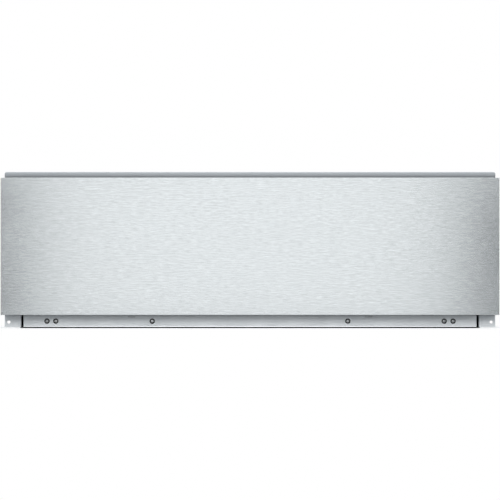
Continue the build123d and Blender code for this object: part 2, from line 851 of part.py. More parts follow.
def end_wall(face_y, inward, top):
    # A cross wall of the drawer: its sheet goes from face_y inward, with a foot on the drawer floor,
    # a hem along its top and side flanges that lie against the drawer walls
    mid = face_y + inward * drawer_sheet / 2
    foot_z = drawer_floor_z + drawer_sheet + drawer_sheet / 2
    section = folded_sheet(
        [
            (mid + inward * drawer_flange, foot_z),
            (mid, foot_z),
            (mid, top - drawer_sheet / 2),
            (mid + inward * hem_turn, top - drawer_sheet / 2),
            (mid + inward * hem_turn, top - hem_width),
        ],
        drawer_sheet,
        hem_fold,
    )
    flanges = folded_sheet(
        [
            (-drawer_inner + drawer_sheet / 2, mid + inward * drawer_flange),
            (-drawer_inner + drawer_sheet / 2, mid),
            (drawer_inner - drawer_sheet / 2, mid),
            (drawer_inner - drawer_sheet / 2, mid + inward * drawer_flange),
        ],
        drawer_sheet,
        hem_fold,
    )
    clear = drawer_inner - drawer_sheet - hem_turn
    flange_base = foot_z + drawer_sheet / 2 + flange_gap
    with BuildPart() as wall:
        with BuildSketch(across(-clear)):
            add(section)
        extrude(amount=2 * clear)
        with BuildSketch(level(flange_base)):
            add(flanges)
        extrude(amount=drawer_top - hem_width - 2 * flange_gap - flange_base)
    return wall.part


# Front wall of the drawer, with a hole for each screw of the front
with BuildPart() as drawer_front_wall:
    add(end_wall(drawer_front_y, 1, drawer_top))
    with BuildSketch(facing_front(drawer_front_y + drawer_sheet)):
        with Locations(*front_screw_spots):
            RegularPolygon(screw_shank + screw_fit, small_sides)
    extrude(amount=drawer_sheet, mode=Mode.SUBTRACT)
write_part(drawer_front_wall.part, "drawer_front_wall")

with BuildPart() as drawer_back_wall:
    add(end_wall(drawer_back_y, -1, drawer_top - drawer_back_drop))
write_part(drawer_back_wall.part, "drawer_back_wall")

# Soft liner mat on the drawer floor
mat_half = drawer_inner - drawer_flange - mat_margin
mat_front = drawer_front_y + drawer_flange + drawer_sheet + mat_margin
mat_rear = drawer_back_y - drawer_flange - drawer_sheet - mat_margin
with BuildPart() as drawer_mat:
    with BuildSketch(level(drawer_floor_z + drawer_sheet)) as mat_outline:
        with Locations((0, (mat_front + mat_rear) / 2)):
            Rectangle(2 * mat_half, mat_rear - mat_front)
        chamfer(mat_outline.vertices(), length=mat_corner)
    extrude(amount=mat_thickness)
write_part(drawer_mat.part, "drawer_mat")

# Front skin: the brushed pan, with its four edges folded back and its corners closed
with BuildPart() as front_skin:
    with BuildSketch(facing_front(panel_back)):
        with Locations((0, panel_base + panel_height / 2)):
            Rectangle(panel_width, panel_height)
    extrude(amount=panel_depth)
    fillet(front_skin.faces().sort_by(Axis.Y)[0].edges(), radius=panel_bend)
    offset(amount=-panel_sheet, openings=front_skin.faces().sort_by(Axis.Y)[-1])
write_part(front_skin.part, "front_skin")

# Front inner panel: a tray that closes the back of the skin, with its flanges inside the skin's
inner_panel_gap = panel_sheet + panel_fit
inner_panel_width = panel_width - 2 * inner_panel_gap
inner_panel_height = panel_height - 2 * inner_panel_gap
with BuildPart() as front_inner_panel:
    with BuildSketch(facing_front(panel_back)):
        with Locations((0, panel_base + panel_height / 2)):
            Rectangle(inner_panel_width, inner_panel_height)
    extrude(amount=panel_flange)
    offset(
        amount=-panel_sheet,
        openings=front_inner_panel.faces().sort_by(Axis.Y)[0],
        kind=Kind.INTERSECTION,
    )
    with BuildSketch(facing_front(panel_back)):
        with Locations(*front_screw_spots):
            Rectangle(square_hole, square_hole)
    extrude(amount=panel_sheet, mode=Mode.SUBTRACT)
write_part(front_inner_panel.part, "front_inner_panel")

# Stiffeners: three upright hat channels between the skin and the inner panel
stiffener_front = front_y + panel_sheet + panel_sheet / 2
stiffener_back = panel_back - panel_sheet - panel_sheet / 2
stiffener_base = panel_base + inner_panel_gap + panel_flange
with BuildPart() as front_stiffeners:
    for x in [-stiffener_offset, 0, stiffener_offset]:
        hat = creased_sheet(
            [
                (x - stiffener_web / 2 - stiffener_foot, stiffener_front),
                (x - stiffener_web / 2, stiffener_front),
                (x - stiffener_web / 2, stiffener_back),
                (x + stiffener_web / 2, stiffener_back),
                (x + stiffener_web / 2, stiffener_front),
                (x + stiffener_web / 2 + stiffener_foot, stiffener_front),
            ],
            panel_sheet,
        )
        with BuildSketch(level(stiffener_base)):
            add(hat)
        extrude(amount=inner_panel_height - 2 * panel_flange)
    with BuildSketch(facing_front(panel_back - panel_sheet)):
        with Locations(*front_screw_spots):
            Rectangle(square_hole, square_hole)
    extrude(amount=panel_sheet, mode=Mode.SUBTRACT)
write_part(front_stiffeners.part, "front_stiffeners")

# Screws from inside the drawer through its front wall into the stiffeners
inside_front = Plane(
    origin=(0, drawer_front_y + drawer_sheet, 0), x_dir=(1, 0, 0), z_dir=(0, 1, 0)
)
with BuildPart() as front_fixing_screws:
    add(hex_screw(inside_front, [(x, -z) for x, z in front_screw_spots], front_screw_length))
write_part(front_fixing_screws.part, "front_fixing_screws")

# Striker: the steel plate on the drawer's back that the latch's magnet holds
with BuildPart() as striker_plate:
    with BuildSketch(facing_front(striker_y)) as striker_outline:
        with Locations((0, latch_height)):
            Rectangle(*striker_size)
        chamfer(striker_outline.vertices(), length=latch_end)
    extrude(amount=striker_sheet)
write_part(striker_plate.part, "striker_plate")

# Latch housing: a moulded block on the pad of the casing's back, with a square bore for the
# plunger's collar and two hooks that snap behind the pad
latch_front = latch_plate_y - latch_length
latch_axis = (0, latch_height)
spring_end = latch_plate_y - latch_end
with BuildPart() as latch_housing:
    with BuildSketch(facing_front(latch_plate_y)) as housing_outline:
        with Locations(latch_axis):
            Rectangle(*latch_body)
        chamfer(housing_outline.vertices(), length=latch_end)
    extrude(amount=latch_length)
    chamfer(latch_housing.faces().sort_by(Axis.Y)[0].edges(), length=latch_wall / 2)
    with BuildSketch(facing_front(spring_end)):
        with Locations(latch_axis):
            Rectangle(latch_bore, latch_bore)
    extrude(amount=spring_end - latch_front - latch_wall, mode=Mode.SUBTRACT)
    with BuildSketch(facing_front(latch_front)):
        with Locations(latch_axis):
            Circle(plunger_radius + plunger_slide)
    extrude(amount=-latch_wall, mode=Mode.SUBTRACT)
    for side in sides.values():
        with BuildSketch(facing_front(latch_plate_y)):
            with Locations((side * latch_hook_x, latch_height)):
                Rectangle(*latch_hook)
        extrude(amount=-casing_sheet - hook_clearance)
        with BuildSketch(facing_front(latch_plate_y + casing_sheet + hook_clearance)):
            with Locations((side * (latch_hook_x + latch_wall / 2), latch_height)):
                Rectangle(latch_hook[0] + latch_wall, latch_hook[1])
        extrude(amount=-latch_wall / 2)
write_part(latch_housing.part, "latch_housing")

# Latch plunger: a moulded pin with a square collar that keeps it in the housing
plunger_tip = striker_y + striker_gap
collar_y = latch_front + latch_wall + plunger_stop
with BuildPart() as latch_plunger:
    with BuildSketch(facing_front(collar_y + plunger_flange)):
        with Locations(latch_axis):
            Circle(plunger_radius)
    extrude(amount=collar_y + plunger_flange - plunger_tip)
    with BuildSketch(facing_front(collar_y + plunger_flange)):
        with Locations(latch_axis):
            Rectangle(latch_bore - 2 * plunger_slide, latch_bore - 2 * plunger_slide)
    extrude(amount=plunger_flange)
    with BuildSketch(facing_front(plunger_tip)):
        with Locations(latch_axis):
            RegularPolygon(magnet_radius + magnet_fit, small_sides)
    extrude(amount=-magnet_length, mode=Mode.SUBTRACT)
write_part(latch_plunger.part, "latch_plunger")

# Magnet in the plunger's tip
with BuildPart() as latch_magnet:
    with BuildSketch(facing_front(plunger_tip + magnet_length)):
        with Locations(latch_axis):
            RegularPolygon(magnet_radius, small_sides)
    extrude(amount=magnet_length)
write_part(latch_magnet.part, "latch_magnet")

# Latch spring, shown as the sleeve that its coils fill between the collar and the bore's end
spring_radius = latch_bore / 2 - spring_fit
with BuildPart() as latch_spring:
    with BuildSketch(facing_front(spring_end)):
        with Locations(latch_axis):
            RegularPolygon(spring_radius, small_sides)
            RegularPolygon(spring_radius - spring_wall, small_sides, mode=Mode.SUBTRACT)
    extrude(amount=spring_end - collar_y - plunger_flange)
write_part(latch_spring.part, "latch_spring")
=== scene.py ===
import json
import math

import bmesh
import bpy
from mathutils import Matrix, Vector


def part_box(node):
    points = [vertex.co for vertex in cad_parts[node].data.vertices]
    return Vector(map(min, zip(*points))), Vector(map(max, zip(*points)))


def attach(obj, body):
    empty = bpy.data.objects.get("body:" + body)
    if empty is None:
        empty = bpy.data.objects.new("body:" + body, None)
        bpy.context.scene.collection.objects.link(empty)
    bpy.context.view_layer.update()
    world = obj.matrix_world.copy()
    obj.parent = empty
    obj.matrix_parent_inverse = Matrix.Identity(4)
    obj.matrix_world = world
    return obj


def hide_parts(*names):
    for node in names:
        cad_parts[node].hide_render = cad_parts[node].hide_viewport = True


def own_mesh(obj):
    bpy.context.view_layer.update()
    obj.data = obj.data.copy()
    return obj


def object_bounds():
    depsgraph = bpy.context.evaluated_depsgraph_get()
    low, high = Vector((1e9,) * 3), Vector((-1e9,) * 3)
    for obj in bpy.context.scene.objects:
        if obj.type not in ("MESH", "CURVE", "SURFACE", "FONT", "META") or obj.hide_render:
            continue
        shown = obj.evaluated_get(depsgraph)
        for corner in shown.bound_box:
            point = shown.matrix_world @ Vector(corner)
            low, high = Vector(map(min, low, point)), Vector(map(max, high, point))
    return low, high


# Looks of the built-in storage drawer: brushed front, mounting frame, zinc casing, ball slides and
# push latch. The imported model's frame is in metres. Sizes of pieces and patterns are given in
# millimetres, which mm turns into metres, and angles in degrees; the studio's sizes are in metres.

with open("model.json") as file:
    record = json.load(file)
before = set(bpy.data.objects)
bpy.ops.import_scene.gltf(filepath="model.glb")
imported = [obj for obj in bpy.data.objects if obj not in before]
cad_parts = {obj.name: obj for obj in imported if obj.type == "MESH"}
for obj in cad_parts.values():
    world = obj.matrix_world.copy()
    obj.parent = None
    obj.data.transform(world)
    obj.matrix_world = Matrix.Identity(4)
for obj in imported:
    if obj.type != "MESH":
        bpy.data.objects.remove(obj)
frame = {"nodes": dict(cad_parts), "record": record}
cadLow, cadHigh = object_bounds()
mm = 0.001
sides = (-1, 1)  # left and right
bodyOf = {node: body for body, nodes in frame["record"]["behaviour"]["bodies"].items() for node in nodes}
slotOf = {part["node"]: part["material_slot"] for part in frame["record"]["subparts"]}


# Node trees

class Wire:  # an output socket that takes plain arithmetic
    def __init__(self, sheet, socket):
        self.sheet = sheet
        self.socket = socket

    def __add__(self, other):
        return self.sheet.maths("ADD", self, other)

    def __radd__(self, other):
        return self.sheet.maths("ADD", other, self)

    def __sub__(self, other):
        return self.sheet.maths("SUBTRACT", self, other)

    def __rsub__(self, other):
        return self.sheet.maths("SUBTRACT", other, self)

    def __mul__(self, other):
        return self.sheet.maths("MULTIPLY", self, other)

    def __rmul__(self, other):
        return self.sheet.maths("MULTIPLY", other, self)


class Sheet:  # the nodes of one material, of the world or of one shape
    def __init__(self, tree):
        self.tree = tree

    def node(self, kind, settings=None, inputs=None, output=0):
        made = self.tree.nodes.new(kind)
        for name, value in (settings or {}).items():
            setattr(made, name, value)
        for name, value in (inputs or {}).items():
            if isinstance(value, Wire):
                self.tree.links.new(value.socket, made.inputs[name])
            else:
                made.inputs[name].default_value = value
        return Wire(self, made.outputs[output]) if len(made.outputs) else made

    def maths(self, operation, first, second=0.0):
        return self.node("ShaderNodeMath", {"operation": operation}, {0: first, 1: second})

    def vectors(self, operation, first, second=(0.0, 0.0, 0.0)):
        return self.node("ShaderNodeVectorMath", {"operation": operation}, {0: first, 1: second})

    def vector(self, x=0.0, y=0.0, z=0.0):
        return self.node("ShaderNodeCombineXYZ", None, {0: x, 1: y, 2: z})

    def axes(self, vector):
        split = self.node("ShaderNodeSeparateXYZ", None, {0: vector}).socket.node
        return [Wire(self, socket) for socket in split.outputs]

    def colours(self, share, first, second):
        rgba = [(*c, 1.0) if isinstance(c, tuple) else c for c in (first, second)]
        return self.node("ShaderNodeMix", {"data_type": "RGBA"}, {0: share, 6: rgba[0], 7: rgba[1]}, 2)

    def onto(self, value, low, high, start=0.0, end=1.0):  # start..end of a value onto low..high
        return self.node("ShaderNodeMapRange", None, {0: value, 1: start, 2: end, 3: low, 4: high})

    def noise(self, place, patch, detail=2.0, roughness=0.5):
        # cloudy pattern; patch is the size of its patches, or one size for each direction
        sizes = patch if isinstance(patch, tuple) else (patch, patch, patch)
        scaled = self.vectors("MULTIPLY", place, tuple(1.0 / (s * mm) for s in sizes))
        return self.node("ShaderNodeTexNoise", None,
                         {"Vector": scaled, "Scale": 1.0, "Detail": detail, "Roughness": roughness})

    def bump(self, height, depth, under=None):  # depth between a height of 0 and one of 1
        inputs = {"Height": height, "Distance": depth * mm, "Strength": 1.0}
        if under is not None:
            inputs["Normal"] = under
        return self.node("ShaderNodeBump", None, inputs)

    def place(self):
        return self.node("ShaderNodeTexCoord", None, None, "Object")

    def cameraSees(self):
        return self.node("ShaderNodeLightPath", None, None, "Is Camera Ray")

    def surface(self, inputs):
        shader = self.node("ShaderNodeBsdfPrincipled", None, inputs)
        self.node("ShaderNodeOutputMaterial", None, {"Surface": shader})


def newFinish(name):
    material = bpy.data.materials.new(name)
    material.use_nodes = True
    material.node_tree.nodes.clear()
    return material, Sheet(material.node_tree)


def blended(first, share, second):
    return first * share + second * (1 - share)


# Finishes

mostNoise = (0.35, 0.65)  # most of a noise pattern's values lie between these
wideNoise = (0.3, 0.7)  # and nearly all of them between these
quarterTurn = 0.25  # turns a brushed sheet's highlights across its grain


brushedFront = {
    "colour": (0.790, 0.822, 0.832),
    "dark streak": (0.640, 0.672, 0.683),
    "folded edge": (0.40, 0.42, 0.44),  # painted shade where the sheet has turned back, darker than the polished face
    "roughness": (0.20, 0.27),
    "edge roughness": 0.48,
    "anisotropy": 0.6,
    "long streaks": (28.0, 2.1, 1000.0),  # along the grain, across it and through it, where all is even
    "short streaks": (10.0, 1.5, 1000.0),
    "fine lines": (6.0, 0.55, 1000.0),
    "clouds": (160.0, 60.0, 1000.0),
    "shares": (0.27, 0.56, 0.17),  # of long streaks, short streaks and fine lines in the colour
    "streak span": (0.335, 0.665),  # the part of their sum that goes from bright to dark
    "lines in roughness": 0.6,  # the rest of it is clouds
    "line depth": 0.004,
}


def brushedFrontFinish():
    material, sheet = newFinish("brushed front")
    use = brushedFront
    grain = sheet.node("ShaderNodeUVMap", {"uv_map": "unrolled"})
    long = sheet.noise(grain, use["long streaks"], detail=1.0)
    short = sheet.noise(grain, use["short streaks"])
    fine = sheet.noise(grain, use["fine lines"], roughness=0.6)
    cloud = sheet.noise(grain, use["clouds"], detail=1.0)
    ofLong, ofShort, ofFine = use["shares"]
    streaks = long * ofLong + short * ofShort + fine * ofFine
    dark = sheet.onto(streaks, 1.0, 0.0, *use["streak span"])
    polished = sheet.colours(dark, use["colour"], use["dark streak"])
    # bend marks the turned-back sides, which take the painted fold shade
    bend = sheet.node("ShaderNodeAttribute", {"attribute_name": "bend"}, None, "Fac")
    rough = sheet.onto(blended(fine, use["lines in roughness"], cloud), *use["roughness"], *wideNoise)
    sheet.surface({
        "Base Color": sheet.colours(bend, polished, use["folded edge"]),
        "Metallic": 1.0,
        "Roughness": rough + bend * (use["edge roughness"] - rough),
        "Anisotropic": use["anisotropy"],
        "Anisotropic Rotation": quarterTurn,
        "Normal": sheet.bump(fine, use["line depth"]),
    })
    return material


satinFrame = {
    "colour": (0.90, 0.93, 0.95),
    "duller": (0.84, 0.87, 0.89),
    # painted shade: the frame's top flange darker than its foot
    "top flange": (0.76, 0.79, 0.81),
    "flange from": (100.0, 220.0),  # heights between which the top flange's painted shade takes over
    "film": (0.42, 0.44, 0.46),  # painted shade along the panel's top edge, where the panel shades the flange
    "film line": (227.0, 235.0),  # heights between which that painted shade thins out
    "roughness": (0.46, 0.54),
    "rubbed edge": 0.0,  # height up to which the lower edge is rubbed, and its roughness
    "rubbed roughness": 0.0,
    "foot": 0.0,  # height up to which the turned edge is painted dark as shade, and that shade's colour
    "scuffed": (0.03, 0.031, 0.033),
    "fade": 0.2,  # above and below each of these two heights
    "anisotropy": 0.3,
    "dishing": (0.18, -0.18),  # how far the bowed sheet's shading leans up, at its foot and at its top
    "dishing from": 20.0,  # height of that foot
    "rolling lines": (60.0, 1.4, 1.4),
    "clouds": 45.0,
    "specks": 0.7,
    "lines in colour": 0.6,  # the rest of it is clouds
    "clouds in roughness": 0.5,  # the rest of it is specks
    "line depth": 0.003,
}
# the skirt's foot is painted dark as shade up to 1.85 mm
satinSkirt = {**satinFrame, "rubbed edge": 3.0, "rubbed roughness": 0.30, "foot": 1.85,
              "dishing": (0.17, 0.17)}


def satinFinish(name, use):
    material, sheet = newFinish(name)
    place = sheet.place()
    height = sheet.axes(place)[2]
    lines = sheet.noise(place, use["rolling lines"])
    cloud = sheet.noise(place, use["clouds"])
    specks = sheet.noise(place, use["specks"])
    # rubbed marks the rubbed lower edge, foot the painted foot shade
    rubbed, foot = [sheet.onto(height, 1.0, 0.0, (end - use["fade"]) * mm, (end + use["fade"]) * mm)
                    for end in (use["rubbed edge"], use["foot"])]
    lean = sheet.onto(height, *use["dishing"], use["dishing from"] * mm, cadHigh.z) * (1 - rubbed)
    flat = sheet.node("ShaderNodeNewGeometry", None, None, "Normal")
    bowed = sheet.vectors("NORMALIZE", sheet.vectors("ADD", flat, sheet.vector(z=lean)))
    dull = sheet.onto(blended(lines, use["lines in colour"], cloud), 0.0, 1.0, *mostNoise)
    satin = sheet.colours(dull, use["colour"], use["duller"])
    # painted shade: darker over the top flange, darkest in the band along the panel's top edge
    clear, upper = [sheet.onto(height, 0.0, 1.0, *[z * mm for z in use[span]])
                    for span in ("film line", "flange from")]
    toneWithPaintedShade = sheet.colours(upper, satin, sheet.colours(clear, use["film"], use["top flange"]))
    rough = sheet.onto(blended(cloud, use["clouds in roughness"], specks), *use["roughness"], *wideNoise)
    sheet.surface({
        "Base Color": sheet.colours(foot, toneWithPaintedShade, use["scuffed"]),
        "Metallic": 1.0,
        "Roughness": rough + rubbed * (use["rubbed roughness"] - rough),
        "Anisotropic": use["anisotropy"],
        "Anisotropic Rotation": quarterTurn,
        "Normal": sheet.bump(specks, use["line depth"], bowed),
    })
    return material


zincSheet = {
    "colours": ((0.455, 0.475, 0.495), (0.66, 0.68, 0.70)),
    "white bloom": (0.70, 0.71, 0.72),
    "bloom": 0.35,  # how thick the bloom lies where it is thickest
    "bloom span": (0.5, 0.72),  # the part of the clouds where it grows
    "roughness": (0.34, 0.52),
    "roughness span": (0.1, 0.9),
    "spangle": 9.0,
    "spangle depth": 0.010,
    "warp": 6.0,  # size of the bends in the spangles' outlines, and how far they reach
    "warp reach": 6.0,
    "feathers": 1.6,
    "clouds": 90.0,
    "spangle in colour": 0.7,  # the rest of it is feathers
    "spangle in roughness": 0.6,  # the rest of it is clouds
    "spangle in depth": 0.5,  # the rest of it is feathers
}


def zincSheetFinish():
    material, sheet = newFinish("zinc sheet")
    use = zincSheet
    place = sheet.place()
    warp = (sheet.noise(place, use["warp"]) - 0.5) * (use["warp reach"] * mm)
    bent = sheet.vectors("ADD", place, sheet.vector(warp, warp, warp * -1.0))
    crystals = sheet.node("ShaderNodeTexVoronoi", {"feature": "F1"},
                          {"Vector": bent, "Scale": 1.0 / (use["spangle"] * mm)}, "Color")
    tone = sheet.node("ShaderNodeSeparateColor", None, {0: crystals})
    feather = sheet.noise(place, use["feathers"], detail=3.0)
    cloud = sheet.noise(place, use["clouds"], detail=3.0)
    base = sheet.colours(blended(tone, use["spangle in colour"], feather), *use["colours"])
    bloom = sheet.onto(cloud, 0.0, use["bloom"], *use["bloom span"])
    uneven = blended(tone, use["spangle in roughness"], cloud)
    sheet.surface({
        "Base Color": sheet.colours(bloom, base, use["white bloom"]),
        "Metallic": 1.0,
        "Roughness": sheet.onto(uneven, *use["roughness"], *use["roughness span"]),
        "Normal": sheet.bump(blended(tone, use["spangle in depth"], feather), use["spangle depth"]),
    })
    return material


greyEnamel = {
    "colour": (0.235, 0.245, 0.262),
    "lighter": (0.262, 0.272, 0.290),
    "roughness": (0.34, 0.44),
    "peel": 1.1,
    "peel depth": 0.012,
    "clouds": 70.0,
    "clouds in colour": 0.7,  # the rest of it is peel
    "coat": 0.25,
    "coat roughness": 0.2,
}


def greyEnamelFinish():
    material, sheet = newFinish("grey enamel")
    use = greyEnamel
    place = sheet.place()
    peel = sheet.noise(place, use["peel"])
    cloud = sheet.noise(place, use["clouds"], detail=3.0)
    light = sheet.onto(blended(cloud, use["clouds in colour"], peel), 0.0, 1.0, *mostNoise)
    sheet.surface({
        "Base Color": sheet.colours(light, use["colour"], use["lighter"]),
        "Roughness": sheet.onto(cloud, *use["roughness"], *mostNoise),
        "Coat Weight": use["coat"],
        "Coat Roughness": use["coat roughness"],
        "Normal": sheet.bump(peel, use["peel depth"]),
    })
    return material


drawnSteel = {  # what all the steels below share
    "clouds": 28.0,
    "lines in colour": 0.6,  # the rest of it is clouds
    "lines in roughness": 0.5,
    "tinted": 0.6,  # how strong the tint is where it is strongest
    "tint span": (0.52, 0.75),  # the part of the clouds where it grows
}
drawnSteels = {  # the lines' sizes are across, along the drawer's depth and up
    "rail_steel": {"colours": ((0.62, 0.64, 0.67), (0.74, 0.745, 0.75)), "tint": (0.70, 0.68, 0.60),
                   "roughness": (0.20, 0.33), "lines": (0.5, 60.0, 0.5), "depth": 0.004},
    "cage_steel": {"colours": ((0.40, 0.40, 0.41), (0.52, 0.52, 0.53)), "tint": (0.46, 0.43, 0.37),
                   "roughness": (0.30, 0.42), "lines": (0.6, 30.0, 0.6), "depth": 0.004},
    "screw_steel": {"colours": ((0.66, 0.675, 0.69), (0.80, 0.81, 0.82)), "tint": (0.76, 0.755, 0.72),
                    "roughness": (0.24, 0.36), "lines": (0.7, 0.7, 0.7), "depth": 0.006},
    "spring_steel": {"colours": ((0.46, 0.46, 0.47), (0.60, 0.60, 0.61)), "tint": (0.50, 0.47, 0.40),
                     "roughness": (0.22, 0.34), "lines": (0.4, 0.4, 0.4), "depth": 0.004},
    "magnet_metal": {"colours": ((0.60, 0.60, 0.60), (0.70, 0.69, 0.67)), "tint": (0.62, 0.60, 0.55),
                     "roughness": (0.12, 0.24), "lines": (0.6, 0.6, 0.6), "depth": 0.002},
    "bearing_steel": {"colours": ((0.80, 0.81, 0.83), (0.86, 0.87, 0.88)), "tint": (0.80, 0.79, 0.76),
                      "roughness": (0.05, 0.12), "lines": (0.5, 0.5, 0.5), "depth": 0.001},
}


def drawnSteelFinish(name):
    material, sheet = newFinish(name.replace("_", " "))
    use = {**drawnSteel, **drawnSteels[name]}
    place = sheet.place()
    lines = sheet.noise(place, use["lines"], roughness=0.6)
    cloud = sheet.noise(place, use["clouds"], detail=3.0)
    tone = sheet.onto(blended(lines, use["lines in colour"], cloud), 0.0, 1.0, *mostNoise)
    tint = sheet.onto(cloud, 0.0, use["tinted"], *use["tint span"])
    uneven = blended(lines, use["lines in roughness"], cloud)
    sheet.surface({
        "Base Color": sheet.colours(tint, sheet.colours(tone, *use["colours"]), use["tint"]),
        "Metallic": 1.0,
        "Roughness": sheet.onto(uneven, *use["roughness"], *mostNoise),
        "Normal": sheet.bump(lines, use["depth"]),
    })
    return material


moulding = {"clouds": 18.0, "grain in colour": 0.3, "grain in roughness": 0.5}  # the rest is clouds
mouldings = {  # rubber and plastic pieces
    "buffer_rubber": {"colours": ((0.028, 0.028, 0.030), (0.045, 0.045, 0.047)),
                      "roughness": (0.68, 0.82), "grain": 0.6, "depth": 0.020, "specular": 0.35},
    "mat_rubber": {"colours": ((0.050, 0.052, 0.056), (0.072, 0.075, 0.079)),
                   "roughness": (0.66, 0.80), "grain": 0.5, "depth": 0.025, "specular": 0.35},
    "latch_plastic": {"colours": ((0.60, 0.60, 0.585), (0.66, 0.66, 0.645)),
                      "roughness": (0.40, 0.52), "grain": 0.35, "depth": 0.010, "specular": 0.5},
    "plunger_plastic": {"colours": ((0.055, 0.055, 0.058), (0.075, 0.075, 0.078)),
                        "roughness": (0.34, 0.46), "grain": 0.35, "depth": 0.008, "specular": 0.5},
}


def mouldedFinish(name):
    material, sheet = newFinish(name.replace("_", " "))
    use = {**moulding, **mouldings[name]}
    place = sheet.place()
    grain = sheet.noise(place, use["grain"])
    cloud = sheet.noise(place, use["clouds"])
    tone = sheet.onto(blended(grain, use["grain in colour"], cloud), 0.0, 1.0, *mostNoise)
    uneven = blended(grain, use["grain in roughness"], cloud)
    sheet.surface({
        "Base Color": sheet.colours(tone, *use["colours"]),
        "Roughness": sheet.onto(uneven, *use["roughness"], *mostNoise),
        "Specular IOR Level": use["specular"],
        "Normal": sheet.bump(grain, use["depth"]),
    })
    return material


finishes = {
    "brushed_front": brushedFrontFinish(),
    "frame_steel": satinFinish("frame steel", satinFrame),
    "zinc_sheet": zincSheetFinish(),
    "drawer_sheet": greyEnamelFinish(),
}
skirtFinish = satinFinish("skirt steel", satinSkirt)
finishes.update({name: drawnSteelFinish(name) for name in drawnSteels})
finishes.update({name: mouldedFinish(name) for name in mouldings})
for node, piece in frame["nodes"].items():
    for place in piece.material_slots:
        place.material = finishes[slotOf[node]]
print("finishes made:", len(finishes) + 1)  # the skirt has its own


# Pieces

def newPiece(name, mesh):
    piece = bpy.data.objects.new(name, mesh)
    bpy.context.scene.collection.objects.link(piece)
    return piece


def newMesh(name, build):
    mesh = bpy.data.meshes.new(name)
    build.to_mesh(mesh)
    build.free()
    return mesh


def settled(piece):
    # works out the piece's modifiers and keeps the result as its plain mesh
    mesh = bpy.data.meshes.new_from_object(piece.evaluated_get(bpy.context.evaluated_depsgraph_get()))
    piece.modifiers.clear()
    worn = piece.data
    piece.data = mesh
    bpy.data.meshes.remove(worn)
    return piece


def fitted(piece, slot, body, *nodes):
    # hands a finished piece to its body, in place of the nodes that it stands for
    piece.data.materials.clear()
    piece.data.materials.append(finishes[slot])
    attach(piece, body)
    if nodes:
        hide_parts(*nodes)
    return piece


cutEdges = {  # what happens to the edges of every cut sheet
    "rounding": 0.16,
    "steps": 2,
    "sharper than": 38.0,
    "joined within": 0.002,  # distance between points that are one
    "flat within": 0.5,  # angle between faces that are one
}


def smoothed(mesh, angle=cutEdges["sharper than"]):
    mesh.shade_smooth()
    mesh.set_sharp_from_angle(angle=math.radians(angle))


def easedCopy(node, rounding=cutEdges["rounding"]):
    # the node's own shape with its cut edges broken and its bends smooth
    words = node.split("_")
    build = bmesh.new()
    build.from_mesh(frame["nodes"][node].data)
    bmesh.ops.remove_doubles(build, verts=build.verts, dist=cutEdges["joined within"] * mm)
    bmesh.ops.dissolve_limit(build, angle_limit=math.radians(cutEdges["flat within"]),
                             verts=build.verts, edges=build.edges)
    mesh = newMesh(node, build)
    mesh.shade_smooth()
    piece = newPiece(words[0] + "".join(word.capitalize() for word in words[1:]), mesh)
    edge = piece.modifiers.new("edge", "BEVEL")
    edge.width = rounding * mm
    edge.segments = cutEdges["steps"]
    edge.limit_method = "ANGLE"
    edge.angle_limit = math.radians(cutEdges["sharper than"])
    edge.use_clamp_overlap = False
    piece.modifiers.new("flats", "WEIGHTED_NORMAL").keep_sharp = True
    settled(piece)
    low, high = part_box(node)
    for vertex in piece.data.vertices:  # no bevel leaves the node's own box
        vertex.co = [min(max(v, least), most) for v, least, most in zip(vertex.co, low, high)]
    return fitted(piece, slotOf[node], bodyOf[node], node)


sheetNodes = [
    "front_frame", "base_skirt", "casing_floor", "casing_left_wall", "casing_right_wall", "casing_roof",
    "casing_back", "cross_rail", "front_inner_panel", "front_stiffeners", "drawer_front_wall",
    "drawer_back_wall", "drawer_left_wall", "drawer_right_wall", "drawer_floor", "striker_plate",
    "left_outer_rail", "right_outer_rail", "left_middle_rail", "right_middle_rail", "left_inner_rail",
    "right_inner_rail", "latch_housing", "latch_plunger", "latch_magnet",
]
slideNodes = {"outer_cage": 0.06, "inner_cage": 0.06, "rail_buffer": 0.5}  # their roundings, on each side
for node in sheetNodes:
    piece = easedCopy(node)
    if node == "base_skirt":
        piece.data.materials[0] = skirtFinish
for side in ("left", "right"):
    for node, rounding in slideNodes.items():
        easedCopy(f"{side}_{node}", rounding)
print("pieces eased:", len(sheetNodes) + 2 * len(slideNodes))


# Skins of points

def roundedOutline(reachX, reachY, radius, steps):
    # a rectangle with round corners, whose centres stand reachX and reachY from the middle
    points = []
    for turn, (sideX, sideY) in enumerate([(1, 1), (-1, 1), (-1, -1), (1, -1)]):
        for i in range(steps + 1):
            a = math.pi / 2 * (turn + i / steps)
            points.append((sideX * reachX + radius * math.cos(a), sideY * reachY + radius * math.sin(a)))
    return points


def skinned(build, rings, caps=(0, -1)):
    # faces over the capped rings of points and from each ring to the next
    for cap in caps:
        build.faces.new(rings[cap])
    for below, above in zip(rings, rings[1:]):
        for i in range(len(below)):
            j = (i + 1) % len(below)
            build.faces.new((below[i], below[j], above[j], above[i]))
    bmesh.ops.recalc_face_normals(build, faces=build.faces)


# Front skin: one pan of brushed sheet with its edges folded back

frontSkin = {
    "fold": 0.5,
    "fold steps": 6,
    "sheet": 1.0,
    "corner": 0.45,
    "least corner": 0.05,
    "corner steps": 5,
    "polish end": 0.5,  # past the fold, over which the painted shade of the turned-back sides grows to full
    "front share": 0.7,  # how squarely a face has to look forwards to count as front
}


